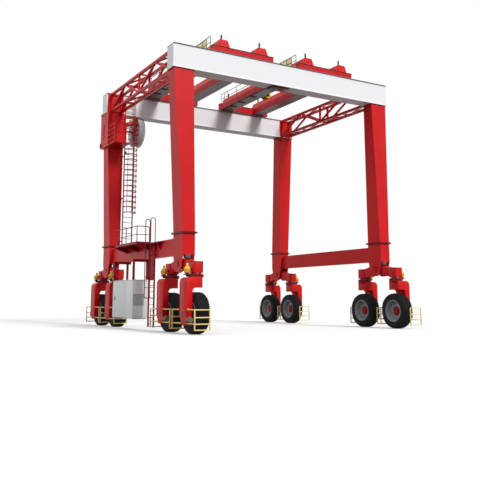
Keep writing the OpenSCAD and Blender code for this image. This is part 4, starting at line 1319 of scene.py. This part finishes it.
def walkChannelShape(spec):
    # Side channel with ribs, carried by the end beams
    shape = Shape()
    left, end, low, floor = -spec["half"], spec["end"], spec["low"], spec["floor"]
    shape.box((left + 0.012, -end, low), (left + 0.024, end, floor - 0.02), 0.002, 1)
    for z in (low, floor - 0.032):
        shape.box((left, -end, z), (left + 0.04, end, z + 0.012), 0.002, 1)
    for step in range(spec["ribs"]):
        y = -end + 0.02 + (2 * end - 0.04) * step / (spec["ribs"] - 1)
        shape.box((left + 0.001, y - 0.006, low + 0.01), (left + 0.016, y + 0.006, floor - 0.03),
                  0.001, 1)
        shape.box((left + 0.02, y - 0.02, floor - 0.06),
                  (spec["walkInner"], y + 0.02, floor - 0.018), 0.003, 1)
    return shape


def walkFloorShape(spec):
    shape = Shape()
    left, end, floor = -spec["half"], spec["end"], spec["floor"]
    shape.box((left + 0.03, -end, floor - 0.018), (spec["walkInner"], end, floor - 0.006), 0.001, 1)
    for step in range(40):
        y = -end + 0.1 + (2 * end - 0.2) * step / 39
        shape.box((left + 0.036, y - 0.012, floor - 0.008),
                  (spec["walkInner"] - 0.006, y + 0.012, floor))
    return shape


def walkRailShape(spec):
    shape = Shape()
    x, end = -spec["half"] + 0.015, spec["end"]
    half = 0.014
    for share in spec["posts"]:
        y = share * (end - 0.015)
        shape.box((x - half, y - half, spec["floor"] - 0.02),
                  (x + half, y + half, spec["top"] - 0.01), 0.004, 2)
        shape.box((x - half, y - 0.03, spec["floor"] - 0.008),
                  (x + 0.03, y + 0.03, spec["floor"] + 0.004), 0.002, 1)
    for z in (spec["middle"] - half, spec["top"] - half):
        shape.box((x - half, -end, z - half), (x + half, end, z + half), 0.005, 2)
    return shape


def walkInfillShape(spec):
    shape = Shape()
    x = -spec["half"] + 0.022
    shape.box((x, -3.66, spec["floor"] + 0.01), (x + 0.005, -2.15, spec["top"] - 0.03), 0.001, 1)
    for step in range(6):
        y = -3.64 + step * 0.295
        shape.box((x - 0.003, y - 0.01, spec["floor"] + 0.012),
                  (x + 0.008, y + 0.01, spec["top"] - 0.032))
    return shape


def toeShape(spec):
    shape = Shape()
    x = -spec["half"] + 0.02
    shape.box((x, -spec["end"] + 0.02, spec["floor"]), (x + 0.008, -3.64, spec["floor"] + 0.11),
              0.002, 1)
    return shape


def lidShape(spec):
    # Dark cap strip on each end beam
    shape = Shape()
    for sign in (-1, 1):
        low, high = sorted((sign * 4.087, sign * 4.413))
        shape.box((-spec["half"] - 0.013, low, 13.536), (spec["half"] + 0.013, high, 13.573), 0.003,
                  1)
    return shape


def sleeveBlackShape(spec):
    shape = Shape()
    for x in spec["crossings"]:
        for sign in (-1, 1):
            shape.lathe([(0, 13.9), (0.06, 13.9), (0.06, 13.937), (0.042, 13.945), (0.042, 14.24),
                         (0.034, 14.268),
                         (0, 14.268)], "z", (x, sign * 4.137, 0), 20)
            shape.rod((x, sign * 4.137, 14.17), (x + 0.062, sign * 4.137, 14.17), 0.014, 8)
    return shape


def crossShape(spec):
    # Bolts on the cross beams: rings on the end faces and rows of heads underneath
    shape = Shape()
    for x in spec["crossings"]:
        for sign in (-1, 1):
            face = sign * 4.4
            shape.bolts(6, (x, face, 13.72), (0, sign, 0), 0.13, 0.013, 0.012)
            for step in range(4):
                y = sign * (0.5 + step * 1.1)
                for side in (-1, 1):
                    shape.rod((x + side * 0.32, y, 13.194), (x + side * 0.32, y, 13.204), 0.02, 6)
    return shape


def underShape(spec):
    # Dark clamps below the first cross beam
    shape = Shape()
    x = spec["crossings"][0]
    for y in (3.2, 2.2, 0.9, -0.8):
        shape.box((x - 0.42, y - 0.1, 13.165), (x + 0.02, y + 0.1, 13.215), 0.01, 2)
        shape.rod((x - 0.2, y, 13.15), (x - 0.2, y, 13.17), 0.05, 16, edge=0.004)
    return shape


def bearingCapShape(spec):
    # Caps over the bearings of the rail wheels
    shape = Shape()
    face = spec["bearingEnd"]
    for x in spec["wheels"]:
        for sign in (-1, 1):
            shape.lathe([(0, face * sign), (0.06, face * sign), (0.06, 4.432 * sign),
                         (0.05, 4.44 * sign), (0, 4.44 * sign)], "y", (x, 0, spec["bearingZ"]), 20)
    return shape


trolleyParts = (("channel", walkChannelShape, "trolleyRed", "red_paint", True),
                ("walk_floor", walkFloorShape, "darkGrey", "yellow_paint", False),
                ("walk_rails", walkRailShape, "railGrey", "yellow_paint", False),
                ("infill", walkInfillShape, "cream", "yellow_paint", False),
                ("toe_plate", toeShape, "orange", "yellow_paint", False),
                ("beam_caps", lidShape, "maroon", "red_paint", False),
                ("post_sleeves", sleeveBlackShape, "black", "reel_metal", False),
                ("cross_bolts", crossShape, "zinc", "reel_metal", False),
                ("under_clamps", underShape, "black", "reel_metal", False),
                ("bearings", bearingCapShape, "darkGrey", "reel_metal", False))
for title, maker, finish, slot, walk in trolleyParts:
    shape = maker(trolley)
    for number in "12":
        low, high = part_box("trolley_" + number + "_frame")
        place = Matrix.Translation(((low.x + high.x) / 2, 0, 0))
        shape.piece("trolley_" + number + "_" + title, finish, "trolley_" + number, slot, place, 32,
                    ["trolley_" + number + "_walkway"] if walk else (), True)


def hoistShape():
    # Small hoist block on the second trolley, seen from below
    shape = Shape()
    for step in range(3):
        y = 0.58 + step * 0.19
        shape.lathe([(0.03, y), (0.17, y), (0.18, y + 0.014), (0.15, y + 0.04), (0.15, y + 0.08),
                     (0.18, y + 0.106),
                     (0.17, y + 0.12), (0.03, y + 0.12), (0.03, y)], "y", (2.22, 0, 13.34), 32)
    return shape


def hoistFrameShape():
    shape = Shape()
    for y in (0.55, 0.72, 0.91, 1.1):
        outline = [(1.86, 13.28), (2.2, 13.27)] + turned((2.22, 13.34), 0.07, -90, 90,
                                                         8) + [(1.86, 13.5)]
        shape.slab(outline, "y", y, y + 0.014, 0.003, 1)
    shape.rod((2.2, 0.5, 13.35), (2.2, 1.1, 13.35), 0.035, 16, edge=0.004)
    return shape


hoistShape().piece("hoist_sheaves", "yellow", "trolley_2", "yellow_paint")
hoistFrameShape().piece("hoist_frame", "black", "trolley_2", "reel_metal")
print("trolleys dressed")

joint = {
    "legLow": (5.37, 5.98, 4.195, 5.155),  # x and y of the leg's foot
    "plate": (4.314, 4.378),
    "pinY": 4.675,
    "pinZ": 2.97,
    "cheeks": (5.34, 6.01),
}


def quarterPlace(corner):
    signX, signY = corners[corner]
    return Matrix.Diagonal((signX, signY, 1, 1))


def jointBoltShape(spec):
    shape = Shape()
    left, right, near, far = spec["legLow"]
    low, top = spec["plate"]
    out = 0.045

    def pair(x, y):
        shape.rod((x, y, top - 0.001), (x, y, top + 0.02), 0.018, 6)
        shape.rod((x, y, low - 0.03), (x, y, low + 0.001), 0.018, 6)
        shape.rod((x, y, top), (x, y, top + 0.03), 0.01, 8)
    for step in range(8):
        y = near + (far - near) * step / 7
        pair(left - out, y)
        pair(right + out, y)
    for step in range(1, 5):
        x = left + (right - left) * step / 5
        pair(x, near - out)
        pair(x, far + out)
    return shape


def pinCapShape(spec):
    shape = Shape()
    for x, sign in ((spec["cheeks"][0], -1), (spec["cheeks"][1], 1)):
        face = x - sign * 0.03
        shape.lathe([(0.09, face - sign * 0.002), (0.15, face - sign * 0.002),
                     (0.15, face + sign * 0.01),
                     (0.142, face + sign * 0.014), (0.09, face + sign * 0.014),
                     (0.09, face - sign * 0.002)],
                    "x", (0, spec["pinY"], spec["pinZ"]), 32)
        keeper = sorted((x - sign * 0.012, x - sign * 0.002))
        shape.box((keeper[0], spec["pinY"] - 0.14, spec["pinZ"] + 0.092),
                  (keeper[1], spec["pinY"] + 0.14, spec["pinZ"] + 0.15),
                  0.003, 1)
        for side in (-0.11, 0.11):
            shape.rod((x - sign * 0.01, spec["pinY"] + side, spec["pinZ"] + 0.12),
                      (x + sign * 0.012, spec["pinY"] + side, spec["pinZ"] + 0.12), 0.016, 6)
    return shape


def bufferShape():
    # Drum below the sill's end box on the outer side of the crane
    shape = Shape()
    shape.lathe([(0, 3.375), (0.15, 3.375), (0.165, 3.365), (0.165, 3.3), (0.155, 3.29),
                 (0.155, 3.275), (0.162, 3.265),
                 (0.162, 3.235), (0.15, 3.222), (0, 3.222)], "z", (5.675, 5.0, 0), 36)
    return shape


jointParts = (("joint_bolts", jointBoltShape(joint), "deepRed", "red_paint"),
              ("pin_caps", pinCapShape(joint), "deepRed", "red_paint"),
              ("rocker_buffer", bufferShape(), "darkGrey", "reel_metal"))
for title, shape, finish, slot in jointParts:
    for corner in corners:
        shape.piece(title + "_" + corner, finish, "frame", slot, quarterPlace(corner), 32, (), True)

rails = {
    "half": 6.375,
    "gap": 0.6,
    "y": 4.25,
    "foot": 13.09,
}


def railClipShape(spec):
    shape = Shape()
    count = int(2 * (spec["half"] - 0.1) / spec["gap"])
    for step in range(count + 1):
        x = -spec["half"] + 0.1 + 2 * (spec["half"] - 0.1) * step / count
        for sign in (-1, 1):
            for side in (-1, 1):
                y = sign * spec["y"] + side * 0.058
                shape.box((x - 0.03, y - 0.022, spec["foot"] - 0.001),
                          (x + 0.03, y + 0.022, spec["foot"] + 0.014), 0.003, 1)
                shape.rod((x, y, spec["foot"] + 0.012), (x, y, spec["foot"] + 0.026), 0.011, 6)
    return shape


railClipShape(rails).piece("rail_clips", "zinc", "frame", "reel_metal")


def anchorShape():
    # Plate box hung under the front girder, near its middle
    shape = Shape()
    shape.slab([(-1.02, -4.885), (0.02, -4.885), (0.02, -4.15), (-1.02, -4.15)], "z", 11.9, 11.939,
               0.003, 1)
    shape.slab([(-0.94, -4.82), (-0.06, -4.82), (-0.06, -4.22), (-0.94, -4.22)], "z", 11.87, 11.905,
               0.006, 2)
    shape.bolts(8, (-0.5, -4.52, 11.871), (0, 0, -1), 0.24, 0.018, 0.02, 0.4)
    return shape


def boxFittingShape():
    # Fittings of the leg's box: a switch box with two cable glands, a small round fitting on its
    # bracket and a cap
    shape = Shape()
    shape.box((-6.465, 4.965, 10.04), (-6.408, 5.07, 10.26), 0.008, 2)
    for y in (4.99, 5.04):
        shape.rod((-6.436, y, 10.0), (-6.436, y, 10.045), 0.014, 8)
    shape.lathe([(0, 9.62), (0.045, 9.62), (0.05, 9.63), (0.05, 9.72), (0.04, 9.74), (0, 9.74)],
                "z", (-5.29, 3.93, 0), 20)
    shape.box((-5.33, 3.9, 9.66), (-5.25, 3.96, 9.7), 0.004, 1)
    shape.box((-6.45, 4.72, 11.9), (-6.3, 5.1, 11.975), 0.012, 2)
    return shape


boxFittingShape().piece("leg_fittings", "darkGrey", "frame", "reel_metal")
anchorShape().piece("girder_anchor_plate", "maroon", "frame", "red_paint")
print("joints dressed")

world = bpy.data.worlds.new("studio")
bpy.context.scene.world = world
world.use_nodes = True
studio = {
    "sky": 0.66,
    "sun": 2.45,
    "sunTurn": (54, 0, 12),  # from the front, a little from the right
    "sunSoft": 16,
    "fill": 0.62,
    "fillTurn": (72, 0, -84),  # low from the left
    "fillSoft": 70,
    "floorBounce": 0.12,
    "floorWhite": 0.985,
    "floorShade": 0.8,
    "floorSize": 400,
}


def shownRays(tree):
    # 1 for the rays that show the backdrop: straight from the camera, mirrored or through glass
    path = tree.nodes.new("ShaderNodeLightPath")
    total = path.outputs["Is Camera Ray"]
    for name in ("Is Glossy Ray", "Is Transmission Ray"):
        either = tree.nodes.new("ShaderNodeMath")
        either.operation = "MAXIMUM"
        tree.links.new(total, either.inputs[0])
        tree.links.new(path.outputs[name], either.inputs[1])
        total = either.outputs[0]
    return total


def addStudio(spec):
    tree = world.node_tree
    back = tree.nodes["Background"]
    seen = tree.nodes.new("ShaderNodeMath")
    seen.operation = "MULTIPLY_ADD"
    tree.links.new(shownRays(tree), seen.inputs[0])
    seen.inputs[1].default_value = 1.0 - spec["sky"]
    seen.inputs[2].default_value = spec["sky"]
    tree.links.new(seen.outputs[0], back.inputs["Strength"])
    back.inputs["Color"].default_value = (1, 1, 1, 1)
    for title in ("sun", "fill"):
        data = bpy.data.lights.new(title, "SUN")
        data.energy = spec[title]
        data.angle = math.radians(spec[title + "Soft"])
        lamp = bpy.data.objects.new(title, data)
        bpy.context.scene.collection.objects.link(lamp)
        lamp.rotation_euler = [math.radians(angle) for angle in spec[title + "Turn"]]
    shape = bmesh.new()
    bmesh.ops.create_grid(shape, x_segments=1, y_segments=1, size=spec["floorSize"] / 2)
    mesh = bpy.data.meshes.new("floor")
    shape.to_mesh(mesh)
    shape.free()
    floor = bpy.data.objects.new("floor", mesh)
    bpy.context.scene.collection.objects.link(floor)
    mesh.materials.append(floorFinish(spec))


def floorFinish(spec):
    material = bpy.data.materials.new("pale_floor")
    material.use_nodes = True
    tree = material.node_tree
    tree.nodes.clear()
    output = tree.nodes.new("ShaderNodeOutputMaterial")
    bounce = tree.nodes.new("ShaderNodeBsdfDiffuse")
    bounce.inputs["Color"].default_value = (*[spec["floorBounce"]] * 3, 1)
    shown = tree.nodes.new("ShaderNodeBsdfDiffuse")
    shown.inputs["Color"].default_value = (0.95, 0.95, 0.96, 1)
    glow = tree.nodes.new("ShaderNodeEmission")
    glow.inputs["Color"].default_value = (*[spec["floorWhite"]] * 3, 1)
    plain = tree.nodes.new("ShaderNodeMixShader")
    plain.inputs[0].default_value = spec["floorShade"]
    tree.links.new(glow.outputs[0], plain.inputs[1])
    tree.links.new(shown.outputs[0], plain.inputs[2])
    either = tree.nodes.new("ShaderNodeMixShader")
    tree.links.new(shownRays(tree), either.inputs[0])
    tree.links.new(bounce.outputs[0], either.inputs[1])
    tree.links.new(plain.outputs[0], either.inputs[2])
    tree.links.new(either.outputs[0], output.inputs["Surface"])
    return material


addStudio(studio)
bpy.context.scene.view_settings.view_transform = "Standard"
